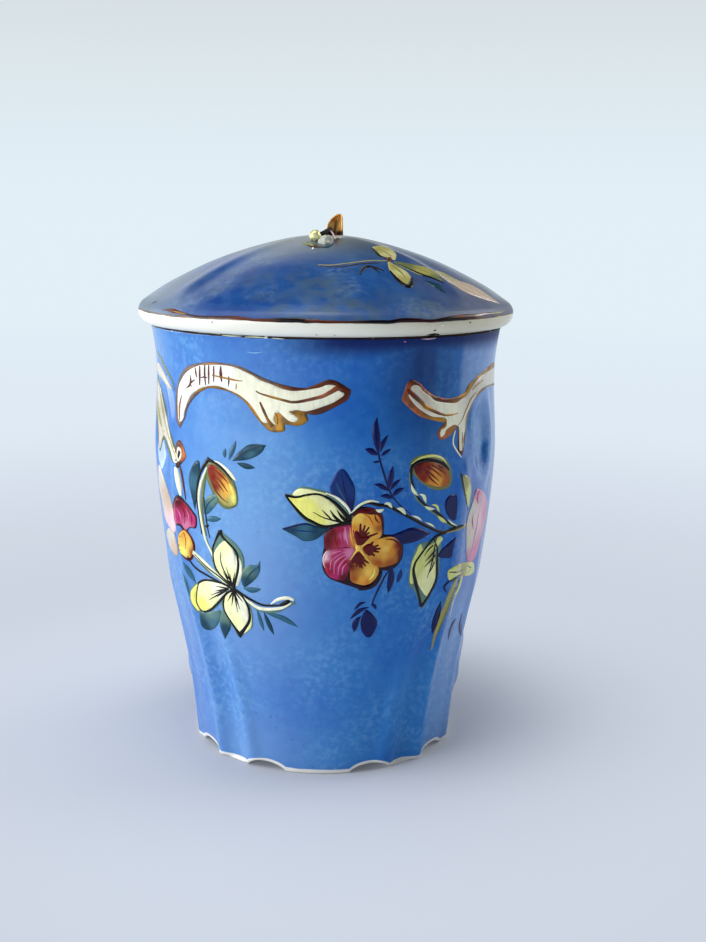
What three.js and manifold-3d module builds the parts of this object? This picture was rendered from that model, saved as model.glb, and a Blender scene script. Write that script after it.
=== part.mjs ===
// Covered porcelain infuser mug: a lobed beaker without a handle on a scalloped foot, a pierced
// infuser that hangs by its flange inside the mouth, and a low domed lid with a twig knob.
// Millimetres, +Z up. The front is -Y, and the origin lies under the middle of the foot.
import * as THREE from 'three';
import { mergeVertices } from 'three/addons/utils/BufferGeometryUtils.js';
import Module from 'manifold-3d';

// Mug body: the outer profile from the foot to the rim
const RIM_HEIGHT = 100;
const RIM_RADIUS = 40.9;
const FOOT_RADIUS = 31.2;
const ANKLE_HEIGHT = 18;
const ANKLE_RADIUS = 33.1;
const FLANK_HEIGHT = 31;
const FLANK_RADIUS = 35.5;
const SHOULDER_BELOW_RIM = 57;
const SHOULDER_RADIUS = 38;
const BELLY_BELOW_RIM = 31;
const BELLY_RADIUS = 40.5;
const WAIST_BELOW_RIM = 10;
const WAIST_RADIUS = 39.8;
const RIM_ROUND = 0.8;

// Mug body: wall, floor and the ledge that the infuser hangs on
const WALL = 3;
const FLOOR = 4.5;
const FLOOR_ROUND = 7;
const RIM_WALL = 3.1;
const LEDGE_DEPTH = 4;
const LEDGE_WIDTH = 2.2;
const COLLAR_HEIGHT = 4;
const COLLAR_FADE = 9;
const FOOT_RING_WIDTH = 4.2;
const FOOT_RECESS = 1.8;

// Moulded relief of the wall: angles are from the front, mirrored left to right and front to back
const RIB_FOOT_ANGLE = 46;
const RIB_TOP_ANGLE = 52;
const RIB_LEAN_HEIGHT = 50;
const RIB_RELIEF = 1;
const RIB_WIDTH = 1.7;
const RIB_END_BELOW_RIM = 33;
const FOLD_FOOT_ANGLE = 28;
const FOLD_TOP_ANGLE = 38;
const FOLD_TOP_HEIGHT = 42;
const FOLD_RELIEF = 0.7;
const FOLD_WIDTH = 2.1;
const GROOVE_RELIEF = 0.7;
const GROOVE_WIDTH = 2.4;
const PLEAT_ANGLE = 71;
const PLEAT_RELIEF = 0.6;
const PLEAT_WIDTH = 2;
const PLEAT_TOP_HEIGHT = 60;
const OVAL_ANGLE = 62.5;
const OVAL_BELOW_RIM = 24;
const OVAL_HALF_WIDTH = 5;
const OVAL_HALF_HEIGHT = 10.5;
const OVAL_HOLLOW = 1.1;
const OVAL_FLAT_SHARE = 0.35;
const OVAL_BRIM_SHARE = 0.95;
const OVAL_FRAME = 0.5;
const SHELL_HEIGHT = 17;
const SHELL_HALF_HEIGHT = 8;
const SHELL_HALF_WIDTH = 8;
const SHELL_RELIEF = 0.9;
const SHELL_LOBES = 5;
const SHELL_LOBE_SHARE = 0.35;

// Arches that scallop the foot
const ARCH_ANGLES = [22.5, 57];
const ARCH_HALF_WIDTH = 4.8;
const ARCH_HEIGHT = 1.6;

// Lid: heights are above the mug's rim
const LID_APEX = 20.4;
const LID_RADIUS = 43.7;
const BAND_ROUND = 2.9;
const BAND_JOIN_ANGLE = 55;
const CROWN_RADIUS = 10;
const CROWN_HEIGHT = 19.2;
const SLOPE_RADIUS = 24;
const SLOPE_HEIGHT = 15.1;
const EAVE_RADIUS = 36;
const EAVE_HEIGHT = 9.5;
const LID_WALL = 3;
const LID_RIDGE_ANGLE = 50;
const LID_RIDGE_RELIEF = 0.7;
const LID_RIDGE_WIDTH = 2.6;
const SPIGOT_DEPTH = 4.5;
const SPIGOT_WALL = 2.6;
const SPIGOT_CLEARANCE = 0.6;

// Infuser
const FLANGE_THICKNESS = 3.4;
const FLANGE_CLEARANCE = 0.4;
const BASKET_CLEARANCE = 0.7;
const BASKET_DEPTH = 60;
const BASKET_WALL = 2.2;
const BASKET_FLOOR_RADIUS = 23;
const BASKET_ROUND = 6;
const HOLE_RADIUS = 1.2;
const HOLE_CUT_LENGTH = 9;
const SIDE_HOLES = 12;
const SIDE_ROWS = 3;
const SIDE_ROW_PITCH = 8;
const SIDE_ROW_START = 13;
const FLOOR_RINGS = 2;
const FLOOR_RING_PITCH = 6.5;

// Knob: a twig sprig on the lid's crown, and the gap at its luted joints
const LUTE_GAP = 0.3;
const ROOT_LENGTH = 15;
const ROOT_WIDTH = 4.6;
const ROOT_HEIGHT = 3.2;
const ROOT_TILT = 8;
const ROOT_PLACE = new THREE.Vector2(0.5, -7.4);
const BUD_RADIUS = 1.35;
const BUD_PLACE = new THREE.Vector2(-2.2, -10.7);
const BUD_PETALS = 5;
const BUD_SWELL = 0.08;
const TWIG_RADIUS = 0.75;
const TWIG_LIFT = 0.6;
const TWIG_START = new THREE.Vector2(-1.1, -10.4);
const TWIG_END = new THREE.Vector2(0.6, -4.4);
const LEAF_HEIGHT = 5;
const LEAF_REACH = 3.3;
const LEAF_FLATNESS = 0.7;
const LEAF_WALL = 0.7;
const LEAF_EDGE = 0.8;
const LEAF_OPENING = 1.4;
const LEAF_ROOT_DEPTH = 1.7;
const LEAF_PLACE = new THREE.Vector2(3.1, -2.6);
// The leaf's outline: share of its reach, and share of its height
const LEAF_OUTLINE = [[1, 0.16], [0.94, 0.33], [0.85, 0.53], [0.64, 0.75], [0.27, 0.95]];

// How finely the surfaces are faceted
const PANEL_STEP = 3.8;
const RIB_STEP = 1.9;
const RIB_BAND = 8;
const WALL_RINGS = 20;
const ROUND_SEGMENTS = 48;
const LID_SEGMENTS = 60;
const DOME_RINGS = 7;

const DEGREE = Math.PI / 180;
const LEDGE_HEIGHT = RIM_HEIGHT - LEDGE_DEPTH;
const REBATE_RADIUS = RIM_RADIUS - RIM_WALL;
const BORE_RADIUS = REBATE_RADIUS - LEDGE_WIDTH;
const BASKET_RADIUS = BORE_RADIUS - BASKET_CLEARANCE;
const BASKET_BOTTOM = LEDGE_HEIGHT - BASKET_DEPTH;
const SPIGOT_RADIUS = BASKET_RADIUS - BASKET_WALL - SPIGOT_CLEARANCE;

const wasm = await Module();
wasm.setup();

const wallCurve = smoothCurve([
  [0, FOOT_RADIUS],
  [ANKLE_HEIGHT, ANKLE_RADIUS],
  [FLANK_HEIGHT, FLANK_RADIUS],
  [RIM_HEIGHT - SHOULDER_BELOW_RIM, SHOULDER_RADIUS],
  [RIM_HEIGHT - BELLY_BELOW_RIM, BELLY_RADIUS],
  [RIM_HEIGHT - WAIST_BELOW_RIM, WAIST_RADIUS],
  [RIM_HEIGHT, RIM_RADIUS],
]);

const BAND_JOIN_RADIUS = LID_RADIUS - BAND_ROUND + BAND_ROUND * Math.cos(BAND_JOIN_ANGLE * DEGREE);
const BAND_JOIN_HEIGHT = BAND_ROUND + BAND_ROUND * Math.sin(BAND_JOIN_ANGLE * DEGREE);

const domeCurve = smoothCurve([
  [0, LID_APEX],
  [CROWN_RADIUS, CROWN_HEIGHT],
  [SLOPE_RADIUS, SLOPE_HEIGHT],
  [EAVE_RADIUS, EAVE_HEIGHT],
  [BAND_JOIN_RADIUS, BAND_JOIN_HEIGHT],
]);

/** A smooth function through a few [place, value] stations. */
function smoothCurve(stations) {
  const places = stations.map(([place]) => place);
  const values = stations.map(([, value]) => value);
  const curve = new THREE.CubicInterpolant(places, values, 1);
  return (place) => curve.evaluate(THREE.MathUtils.clamp(place, places[0], places.at(-1)))[0];
}

/** Turns a closed geometry into a manifold solid. */
function solid(geometry) {
  const bare = geometry.clone();
  bare.deleteAttribute('normal');
  bare.deleteAttribute('uv');
  const merged = mergeVertices(bare, 1e-4);
  return new wasm.Manifold(new wasm.Mesh({
    numProp: 3,
    vertProperties: new Float32Array(merged.attributes.position.array),
    triVerts: new Uint32Array(merged.index.array),
  }));
}

/** Turns a manifold solid back into a geometry. */
function geometryOf(manifold) {
  const mesh = manifold.getMesh();
  const geometry = new THREE.BufferGeometry();
  geometry.setAttribute('position', new THREE.BufferAttribute(mesh.vertProperties, 3));
  geometry.setIndex(new THREE.BufferAttribute(mesh.triVerts, 1));
  geometry.computeVertexNormals();
  return geometry;
}

/** A closed solid through rings of equal counts, with a pole point below and above them. */
function loft(rings, lowPole, highPole) {
  const count = rings[0].length;
  const points = [lowPole, ...rings.flat(), highPole];
  const index = [];
  for (let i = 0; i < count; i += 1) {
    const next = (i + 1) % count;
    index.push(0, 1 + next, 1 + i);
    for (let ring = 0; ring + 1 < rings.length; ring += 1) {
      const low = 1 + ring * count;
      const high = low + count;
      index.push(low + i, low + next, high + next, low + i, high + next, high + i);
    }
    const last = 1 + (rings.length - 1) * count;
    index.push(last + i, last + next, points.length - 1);
  }
  const geometry = new THREE.BufferGeometry().setFromPoints(points);
  geometry.setIndex(index);
  return geometry;
}

/** A solid of revolution about Z from [radius, height] points that run up the outside. */
function revolve(profile, segments = ROUND_SEGMENTS) {
  const points = profile.map(([radius, height]) => new THREE.Vector2(radius, height));
  return new THREE.LatheGeometry(points, segments).rotateX(Math.PI / 2);
}

/** Points of an arc in a profile, from one angle in degrees to another. */
function arc(radius, height, bend, from, to, steps) {
  const points = [];
  for (let i = 0; i <= steps; i += 1) {
    const angle = THREE.MathUtils.lerp(from, to, i / steps) * DEGREE;
    points.push([radius + bend * Math.cos(angle), height + bend * Math.sin(angle)]);
  }
  return points;
}

/** Folds an angle from the front onto the quarter from 0, the front, to 90, the side. */
function quarterAngle(degrees) {
  const turn = Math.abs(THREE.MathUtils.euclideanModulo(degrees + 180, 360) - 180);
  return turn > 90 ? 180 - turn : turn;
}

function bump(distance, width) {
  return Math.exp(-((distance / width) ** 2));
}

/** The height of the moulded relief at an angle from the front and a height above the foot. */
function relief(degrees, height) {
  const angle = quarterAngle(degrees);
  const base = wallCurve(height);
  const across = (target) => (angle - target) * DEGREE * base;
  const lean = THREE.MathUtils.smoothstep(height, 0, RIB_LEAN_HEIGHT);
  const ribAngle = THREE.MathUtils.lerp(RIB_FOOT_ANGLE, RIB_TOP_ANGLE, lean);
  const foldRise = Math.min(height / FOLD_TOP_HEIGHT, 1);
  const foldAngle = THREE.MathUtils.lerp(FOLD_FOOT_ANGLE, FOLD_TOP_ANGLE, foldRise);
  const ribEnd = RIM_HEIGHT - RIB_END_BELOW_RIM;
  const ribFade = 1 - THREE.MathUtils.smoothstep(height, ribEnd, ribEnd + RIB_END_BELOW_RIM / 4);
  const foldFade = 1 - THREE.MathUtils.smoothstep(height, FOLD_TOP_HEIGHT / 2, FOLD_TOP_HEIGHT);
  const pleatFade = 1 - THREE.MathUtils.smoothstep(height, PLEAT_TOP_HEIGHT / 2, PLEAT_TOP_HEIGHT);
  let rise = RIB_RELIEF * ribFade * bump(across(ribAngle), RIB_WIDTH);
  rise += FOLD_RELIEF * foldFade * bump(across(foldAngle), FOLD_WIDTH);
  rise -= GROOVE_RELIEF * foldFade * bump(across((foldAngle + ribAngle) / 2), GROOVE_WIDTH);
  rise += PLEAT_RELIEF * pleatFade * bump(across(PLEAT_ANGLE), PLEAT_WIDTH);
  rise += ovalRelief(across(OVAL_ANGLE), height - RIM_HEIGHT + OVAL_BELOW_RIM);
  rise += shellRelief(across(90), height - SHELL_HEIGHT);
  return rise;
}

/** An oval hollow in a raised frame, from its middle. */
function ovalRelief(across, up) {
  const reach = Math.hypot(across / OVAL_HALF_WIDTH, up / OVAL_HALF_HEIGHT);
  const hollow = 1 - THREE.MathUtils.smoothstep(reach, OVAL_FLAT_SHARE, OVAL_BRIM_SHARE);
  const frame = bump((reach - 1) * OVAL_HALF_WIDTH, RIB_WIDTH);
  return OVAL_FRAME * frame - OVAL_HOLLOW * hollow;
}

/** A shell with radiating lobes at the foot of each side, from its middle. */
function shellRelief(across, up) {
  const reach = Math.hypot(across / SHELL_HALF_WIDTH, up / SHELL_HALF_HEIGHT);
  if (reach >= 1) return 0;
  const spread = Math.atan2(across, up + SHELL_HALF_HEIGHT);
  const lobes = 1 + SHELL_LOBE_SHARE * (Math.cos(spread * SHELL_LOBES * 2) - 1);
  return SHELL_RELIEF * lobes * (1 - reach ** 4);
}

/** Angles round the wall in degrees, closer together where the ribs run. */
function wallAngles() {
  const low = RIB_FOOT_ANGLE - RIB_BAND;
  const high = RIB_TOP_ANGLE + RIB_BAND;
  const quarter = [];
  const add = (from, to, step) => {
    const count = Math.max(1, Math.round((to - from) / step));
    for (let i = 0; i < count; i += 1) quarter.push(from + ((to - from) * i) / count);
  };
  add(0, low, PANEL_STEP);
  add(low, high, RIB_STEP);
  add(high, 90, PANEL_STEP);
  const half = [...quarter, 90, ...quarter.slice(1).reverse().map((angle) => 180 - angle)];
  return [...half, 180, ...half.slice(1).reverse().map((angle) => 360 - angle)];
}

/** A point of the wall: angles turn from the front, -Y, towards +X. */
function wallPoint(degrees, height, radius) {
  const angle = degrees * DEGREE;
  return new THREE.Vector3(radius * Math.sin(angle), -radius * Math.cos(angle), height);
}

/** The outside of the mug as a lofted solid. */
function wallLoft() {
  const angles = wallAngles();
  const rings = [];
  for (let ring = 0; ring <= WALL_RINGS; ring += 1) {
    const height = (RIM_HEIGHT - RIM_ROUND) * (ring / WALL_RINGS);
    rings.push(angles.map((angle) => (
      wallPoint(angle, height, wallCurve(height) + relief(angle, height))
    )));
  }
  rings.push(angles.map((angle) => wallPoint(angle, RIM_HEIGHT, RIM_RADIUS - RIM_ROUND)));
  return loft(rings, new THREE.Vector3(0, 0, 0), new THREE.Vector3(0, 0, RIM_HEIGHT));
}

/** The inside of the mug: floor, wall, collar, ledge and rebate. */
function mugCavity() {
  const collarFoot = LEDGE_HEIGHT - COLLAR_HEIGHT;
  const wallTop = collarFoot - COLLAR_FADE;
  const innerRadius = (height) => wallCurve(height) - WALL;
  const roundTop = FLOOR + FLOOR_ROUND;
  const corner = innerRadius(roundTop) - FLOOR_ROUND;
  const profile = [[0, FLOOR], ...arc(corner, roundTop, FLOOR_ROUND, -90, 0, 4)];
  const steps = 6;
  for (let i = 1; i <= steps; i += 1) {
    const height = THREE.MathUtils.lerp(roundTop, wallTop, i / steps);
    profile.push([innerRadius(height), height]);
  }
  profile.push([BORE_RADIUS, collarFoot], [BORE_RADIUS, LEDGE_HEIGHT]);
  profile.push([REBATE_RADIUS, LEDGE_HEIGHT], [REBATE_RADIUS, RIM_HEIGHT + WALL]);
  profile.push([0, RIM_HEIGHT + WALL]);
  return revolve(profile);
}

/** One arch that scallops the foot, as a cutter that points out at an angle. */
function archCutter(degrees) {
  const shape = new THREE.Shape();
  shape.moveTo(-ARCH_HALF_WIDTH, -WALL);
  shape.lineTo(ARCH_HALF_WIDTH, -WALL);
  shape.lineTo(ARCH_HALF_WIDTH, 0);
  shape.absellipse(0, 0, ARCH_HALF_WIDTH, ARCH_HEIGHT, 0, Math.PI, false);
  const depth = FOOT_RING_WIDTH * 3;
  const cutter = new THREE.ExtrudeGeometry(shape, { depth, curveSegments: 6, bevelEnabled: false });
  cutter.rotateX(Math.PI / 2);
  cutter.translate(0, depth / 2 - FOOT_RADIUS + FOOT_RING_WIDTH / 2, 0);
  return cutter.rotateZ(degrees * DEGREE);
}

function buildMugBody() {
  const recess = [
    [0, -WALL],
    [FOOT_RADIUS - FOOT_RING_WIDTH, -WALL],
    [FOOT_RADIUS - FOOT_RING_WIDTH, 0],
    [FOOT_RADIUS - FOOT_RING_WIDTH - FOOT_RECESS / 2, FOOT_RECESS],
    [0, FOOT_RECESS],
  ];
  let body = solid(wallLoft()).subtract(solid(mugCavity())).subtract(solid(revolve(recess)));
  for (const angle of ARCH_ANGLES) {
    for (const turn of [angle, 180 - angle, 180 + angle, 360 - angle]) {
      body = body.subtract(solid(archCutter(turn)));
    }
  }
  return geometryOf(body);
}

/** A six-sided cutter along Z for one hole of the infuser. */
function holeCutter() {
  const cutter = new THREE.CylinderGeometry(HOLE_RADIUS, HOLE_RADIUS, HOLE_CUT_LENGTH, 6);
  return cutter.rotateX(Math.PI / 2);
}

function basketProfile() {
  const top = LEDGE_HEIGHT + FLANGE_THICKNESS;
  const inner = BASKET_RADIUS - BASKET_WALL;
  const innerRound = BASKET_ROUND - BASKET_WALL / 2;
  const floorTop = BASKET_BOTTOM + BASKET_WALL;
  const innerFloor = BASKET_FLOOR_RADIUS - BASKET_WALL;
  return [
    [0, BASKET_BOTTOM],
    ...arc(BASKET_FLOOR_RADIUS - BASKET_ROUND, BASKET_BOTTOM + BASKET_ROUND, BASKET_ROUND, -90, 0, 3),
    [BASKET_RADIUS, LEDGE_HEIGHT],
    [REBATE_RADIUS - FLANGE_CLEARANCE, LEDGE_HEIGHT],
    [REBATE_RADIUS - FLANGE_CLEARANCE, top - RIM_ROUND / 2],
    [REBATE_RADIUS - FLANGE_CLEARANCE - RIM_ROUND / 2, top],
    [inner, top],
    [inner, LEDGE_HEIGHT],
    ...arc(innerFloor - innerRound, floorTop + innerRound, innerRound, 0, -90, 3),
    [0, floorTop],
  ];
}

/** Rows of holes round the taper and rings of holes in the floor. */
function basketHoles() {
  const cutters = [holeCutter().translate(0, 0, BASKET_BOTTOM)];
  for (let ring = 1; ring <= FLOOR_RINGS; ring += 1) {
    const count = ring * 6;
    for (let i = 0; i < count; i += 1) {
      const cutter = holeCutter();
      cutter.translate(ring * FLOOR_RING_PITCH, 0, BASKET_BOTTOM);
      cutters.push(cutter.rotateZ((i / count) * Math.PI * 2));
    }
  }
  const taperFoot = BASKET_BOTTOM + BASKET_ROUND;
  for (let row = 0; row < SIDE_ROWS; row += 1) {
    const height = BASKET_BOTTOM + SIDE_ROW_START + row * SIDE_ROW_PITCH;
    const rise = (height - taperFoot) / (LEDGE_HEIGHT - taperFoot);
    const radius = THREE.MathUtils.lerp(BASKET_FLOOR_RADIUS, BASKET_RADIUS, rise);
    for (let i = 0; i < SIDE_HOLES; i += 1) {
      const cutter = holeCutter().rotateY(Math.PI / 2);
      cutter.translate(radius - BASKET_WALL / 2, 0, height);
      cutters.push(cutter.rotateZ(((i + (row % 2) / 2) / SIDE_HOLES) * Math.PI * 2));
    }
  }
  return cutters;
}

function buildInfuser() {
  let basket = solid(revolve(basketProfile()));
  for (const cutter of basketHoles()) basket = basket.subtract(solid(cutter));
  return geometryOf(basket);
}

/** How far the lid's soft ridges rise at an angle from the front and a radius. */
function lidRelief(degrees, radius) {
  const across = (quarterAngle(degrees) - LID_RIDGE_ANGLE) * DEGREE * radius;
  const start = THREE.MathUtils.smoothstep(radius, 0, EAVE_RADIUS);
  const end = 1 - THREE.MathUtils.smoothstep(radius, EAVE_RADIUS, BAND_JOIN_RADIUS);
  return LID_RIDGE_RELIEF * start * end * bump(across, LID_RIDGE_WIDTH);
}

/** The lid's outside as a lofted solid, raised off the dome's line by a growth if asked. */
function lidLoft(growth = 0) {
  const angles = Array.from({ length: LID_SEGMENTS }, (_, i) => (i * 360) / LID_SEGMENTS);
  const ring = (radius, height) => angles.map((angle) => (
    wallPoint(angle, RIM_HEIGHT + height + growth + lidRelief(angle, radius), radius)
  ));
  const rings = [];
  const noseRadius = LID_RADIUS - BAND_ROUND;
  for (const [radius, height] of arc(noseRadius, BAND_ROUND, BAND_ROUND, -90, BAND_JOIN_ANGLE, 7)) {
    rings.push(ring(radius, height));
  }
  for (let i = DOME_RINGS - 1; i > 0; i -= 1) {
    const radius = BAND_JOIN_RADIUS * (i / DOME_RINGS);
    rings.push(ring(radius, domeCurve(radius)));
  }
  const low = new THREE.Vector3(0, 0, RIM_HEIGHT + growth);
  const high = new THREE.Vector3(0, 0, RIM_HEIGHT + growth + domeCurve(0));
  return loft(rings, low, high);
}

function buildLid() {
  const spigotInner = SPIGOT_RADIUS - SPIGOT_WALL;
  const spigotFoot = RIM_HEIGHT - SPIGOT_DEPTH;
  const spigot = [
    [0, spigotFoot],
    [SPIGOT_RADIUS - RIM_ROUND, spigotFoot],
    [SPIGOT_RADIUS, spigotFoot + RIM_ROUND],
    [SPIGOT_RADIUS, RIM_HEIGHT + LID_WALL],
    [0, RIM_HEIGHT + LID_WALL],
  ];
  const hollow = [[0, spigotFoot - LID_WALL], [spigotInner, spigotFoot - LID_WALL]];
  const steps = 5;
  for (let i = 0; i < steps; i += 1) {
    const radius = spigotInner * (1 - i / steps);
    hollow.push([radius, RIM_HEIGHT + domeCurve(radius) - LID_WALL]);
  }
  hollow.push([0, RIM_HEIGHT + domeCurve(0) - LID_WALL]);
  const shell = solid(lidLoft()).add(solid(revolve(spigot)));
  return geometryOf(shell.subtract(solid(revolve(hollow))));
}

/** The height of the lid's top at a place on the crown. */
function crownHeight(place) {
  return RIM_HEIGHT + domeCurve(place.length());
}

/** The long lump that the knob grows from, grown on all sides by a margin if asked. */
function rootLump(margin = 0) {
  const lump = new THREE.SphereGeometry(1, 14, 10);
  lump.scale(ROOT_WIDTH / 2 + margin, ROOT_LENGTH / 2 + margin, ROOT_HEIGHT / 2 + margin);
  lump.rotateX(ROOT_TILT * DEGREE);
  return lump.translate(ROOT_PLACE.x, ROOT_PLACE.y, crownHeight(ROOT_PLACE));
}

function buildKnobRoot() {
  return geometryOf(solid(rootLump()).subtract(solid(lidLoft(LUTE_GAP))));
}

/** Height of the root lump's top above a place. */
function rootTop(place) {
  const across = (place.x - ROOT_PLACE.x) / (ROOT_WIDTH / 2);
  const along = (place.y - ROOT_PLACE.y) / (ROOT_LENGTH / 2);
  const left = Math.sqrt(Math.max(0, 1 - across ** 2 - along ** 2));
  const slope = (place.y - ROOT_PLACE.y) * Math.tan(ROOT_TILT * DEGREE);
  return crownHeight(ROOT_PLACE) + slope + (ROOT_HEIGHT / 2) * left;
}

/** A round bud with shallow petals that lies beside the root, grown by a margin if asked. */
function budLump(margin = 0) {
  const bud = new THREE.SphereGeometry(BUD_RADIUS + margin, 20, 8);
  const place = bud.attributes.position;
  for (let i = 0; i < place.count; i += 1) {
    const turn = Math.atan2(place.getZ(i), place.getX(i));
    const open = 1 - Math.abs(place.getY(i)) / (BUD_RADIUS + margin);
    const swell = 1 + BUD_SWELL * open * Math.cos(turn * BUD_PETALS);
    place.setXYZ(i, place.getX(i) * swell, place.getY(i), place.getZ(i) * swell);
  }
  bud.rotateX(Math.PI / 2);
  return bud.translate(BUD_PLACE.x, BUD_PLACE.y, crownHeight(BUD_PLACE) + BUD_RADIUS);
}

function buildKnobBud() {
  const seat = solid(rootLump(LUTE_GAP));
  return geometryOf(solid(budLump()).subtract(seat).subtract(solid(lidLoft(LUTE_GAP))));
}

/** An upright pointed bud shape, the leaf's outside, grown by a margin if asked. */
function leafLump(margin = 0) {
  const reach = LEAF_REACH + margin;
  const tip = LEAF_HEIGHT + margin;
  const profile = [[0, -LEAF_ROOT_DEPTH], [reach, -LEAF_ROOT_DEPTH]];
  for (const [wide, high] of LEAF_OUTLINE) profile.push([reach * wide, tip * high]);
  profile.push([0, tip]);
  const leaf = revolve(profile, 14).scale(1, LEAF_FLATNESS, 1);
  return leaf.translate(LEAF_PLACE.x, LEAF_PLACE.y, crownHeight(LEAF_PLACE));
}

/** A box that fills everything to the right of a distance from the leaf's middle. */
function leafTrim(right) {
  const trim = new THREE.BoxGeometry(LEAF_REACH * 2, LEAF_REACH * 4, LEAF_HEIGHT * 4);
  return trim.translate(LEAF_PLACE.x + LEAF_REACH + right, LEAF_PLACE.y, crownHeight(LEAF_PLACE));
}

/** The curled leaf: a pointed hood, open to the front and trimmed upright on its right. */
function buildKnobLeaf() {
  const scoop = leafLump(-LEAF_WALL).translate(0, -LEAF_OPENING, LEAF_WALL);
  const hollow = solid(scoop).subtract(solid(leafTrim(LEAF_EDGE - LEAF_WALL)));
  const seat = solid(rootLump(LUTE_GAP)).add(solid(lidLoft(LUTE_GAP)));
  const leaf = solid(leafLump()).subtract(hollow).subtract(solid(leafTrim(LEAF_EDGE)));
  return geometryOf(leaf.subtract(seat));
}

/** The short twig between bud and leaf, along the top of the root. */
function buildKnobTwig() {
  const middle = TWIG_START.clone().lerp(TWIG_END, 0.5);
  const path = new THREE.QuadraticBezierCurve3(
    new THREE.Vector3(TWIG_START.x, TWIG_START.y, rootTop(TWIG_START) + TWIG_LIFT),
    new THREE.Vector3(middle.x, middle.y, rootTop(middle) + TWIG_LIFT * 2),
    new THREE.Vector3(TWIG_END.x, TWIG_END.y, rootTop(TWIG_END) + TWIG_LIFT),
  );
  const section = new THREE.Shape().absarc(0, 0, TWIG_RADIUS, 0, Math.PI * 2);
  const tube = new THREE.ExtrudeGeometry(section, {
    steps: 8,
    curveSegments: 4,
    extrudePath: path,
  });
  const seat = solid(rootLump(LUTE_GAP)).add(solid(lidLoft(LUTE_GAP)));
  const neighbours = solid(budLump(LUTE_GAP)).add(solid(leafLump(LUTE_GAP)));
  return geometryOf(solid(tube).subtract(seat).subtract(neighbours));
}

const glaze = { color: 0x3f74bd, roughness: 0.16, metalness: 0 };
const porcelain = { color: 0xf1ece0, roughness: 0.25, metalness: 0 };
const gilding = { color: 0xc98f34, roughness: 0.28, metalness: 1 };

/** Adds one named piece to its group. */
function addPiece(group, name, geometry, finish) {
  const piece = new THREE.Mesh(geometry, new THREE.MeshStandardMaterial(finish));
  piece.name = name;
  group.add(piece);
}

const infuserMug = new THREE.Group();
infuserMug.name = 'infuser_mug';
addPiece(infuserMug, 'mug_body', buildMugBody(), glaze);
addPiece(infuserMug, 'infuser_basket', buildInfuser(), porcelain);
const cover = new THREE.Group();
cover.name = 'cover';
addPiece(cover, 'lid', buildLid(), glaze);
addPiece(cover, 'knob_root', buildKnobRoot(), porcelain);
addPiece(cover, 'knob_bud', buildKnobBud(), gilding);
addPiece(cover, 'knob_leaf', buildKnobLeaf(), gilding);
addPiece(cover, 'knob_twig', buildKnobTwig(), gilding);
infuserMug.add(cover);

export default infuserMug;
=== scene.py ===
"""Looks of a covered porcelain infuser mug: blue ground, painted sprays, scrollwork and gilding."""

import logging
import math
from collections.abc import Callable, Iterable, Sequence
from dataclasses import asdict, dataclass, field
from enum import Enum

import bpy
import numpy as np
from mathutils import Matrix, Vector
from mathutils.bvhtree import BVHTree
from mathutils.geometry import delaunay_2d_cdt


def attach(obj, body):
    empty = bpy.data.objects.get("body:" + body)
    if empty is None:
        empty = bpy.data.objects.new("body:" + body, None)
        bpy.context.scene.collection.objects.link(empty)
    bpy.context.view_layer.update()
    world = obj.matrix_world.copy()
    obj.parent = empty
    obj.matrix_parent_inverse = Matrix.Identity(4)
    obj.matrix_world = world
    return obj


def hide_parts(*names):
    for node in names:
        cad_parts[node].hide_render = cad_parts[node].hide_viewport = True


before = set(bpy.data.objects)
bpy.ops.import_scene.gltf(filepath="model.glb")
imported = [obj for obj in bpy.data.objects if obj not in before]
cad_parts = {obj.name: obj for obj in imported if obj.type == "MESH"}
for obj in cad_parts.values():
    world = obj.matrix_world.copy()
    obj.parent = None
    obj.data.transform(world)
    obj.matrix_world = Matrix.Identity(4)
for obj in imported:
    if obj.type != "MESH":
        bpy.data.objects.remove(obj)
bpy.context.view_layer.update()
LOG = logging.getLogger("infuser_mug")

MM = 0.001
DEGREE = math.pi / 180
Colour = tuple[float, float, float]
Point = tuple[float, float]
Trace = tuple[Point, ...]
Course = tuple[tuple[float, float, float], ...]
Node = bpy.types.Node
Socket = bpy.types.NodeSocket
Material = bpy.types.Material
Thing = bpy.types.Object
# Degrees from the front where the painted reflection on the wall's sides starts and is whole.
RIGHT_PAINTED_SHEEN = (48.0, 52.0)
LEFT_PAINTED_SHEEN = (54.0, 72.0)


def paint(red: int, green: int, blue: int) -> Colour:
    """Turns a colour as a screen shows it, 0 to 255, into the light values that shaders use.

    Args:
        red: The red part.
        green: The green part.
        blue: The blue part.

    Returns:
        The three linear light values.
    """
    parts = []
    for part in (red, green, blue):
        value = part / 255
        parts.append(value / 12.92 if value <= 0.04045 else ((value + 0.055) / 1.055) ** 2.4)
    return tuple(parts)


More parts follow.
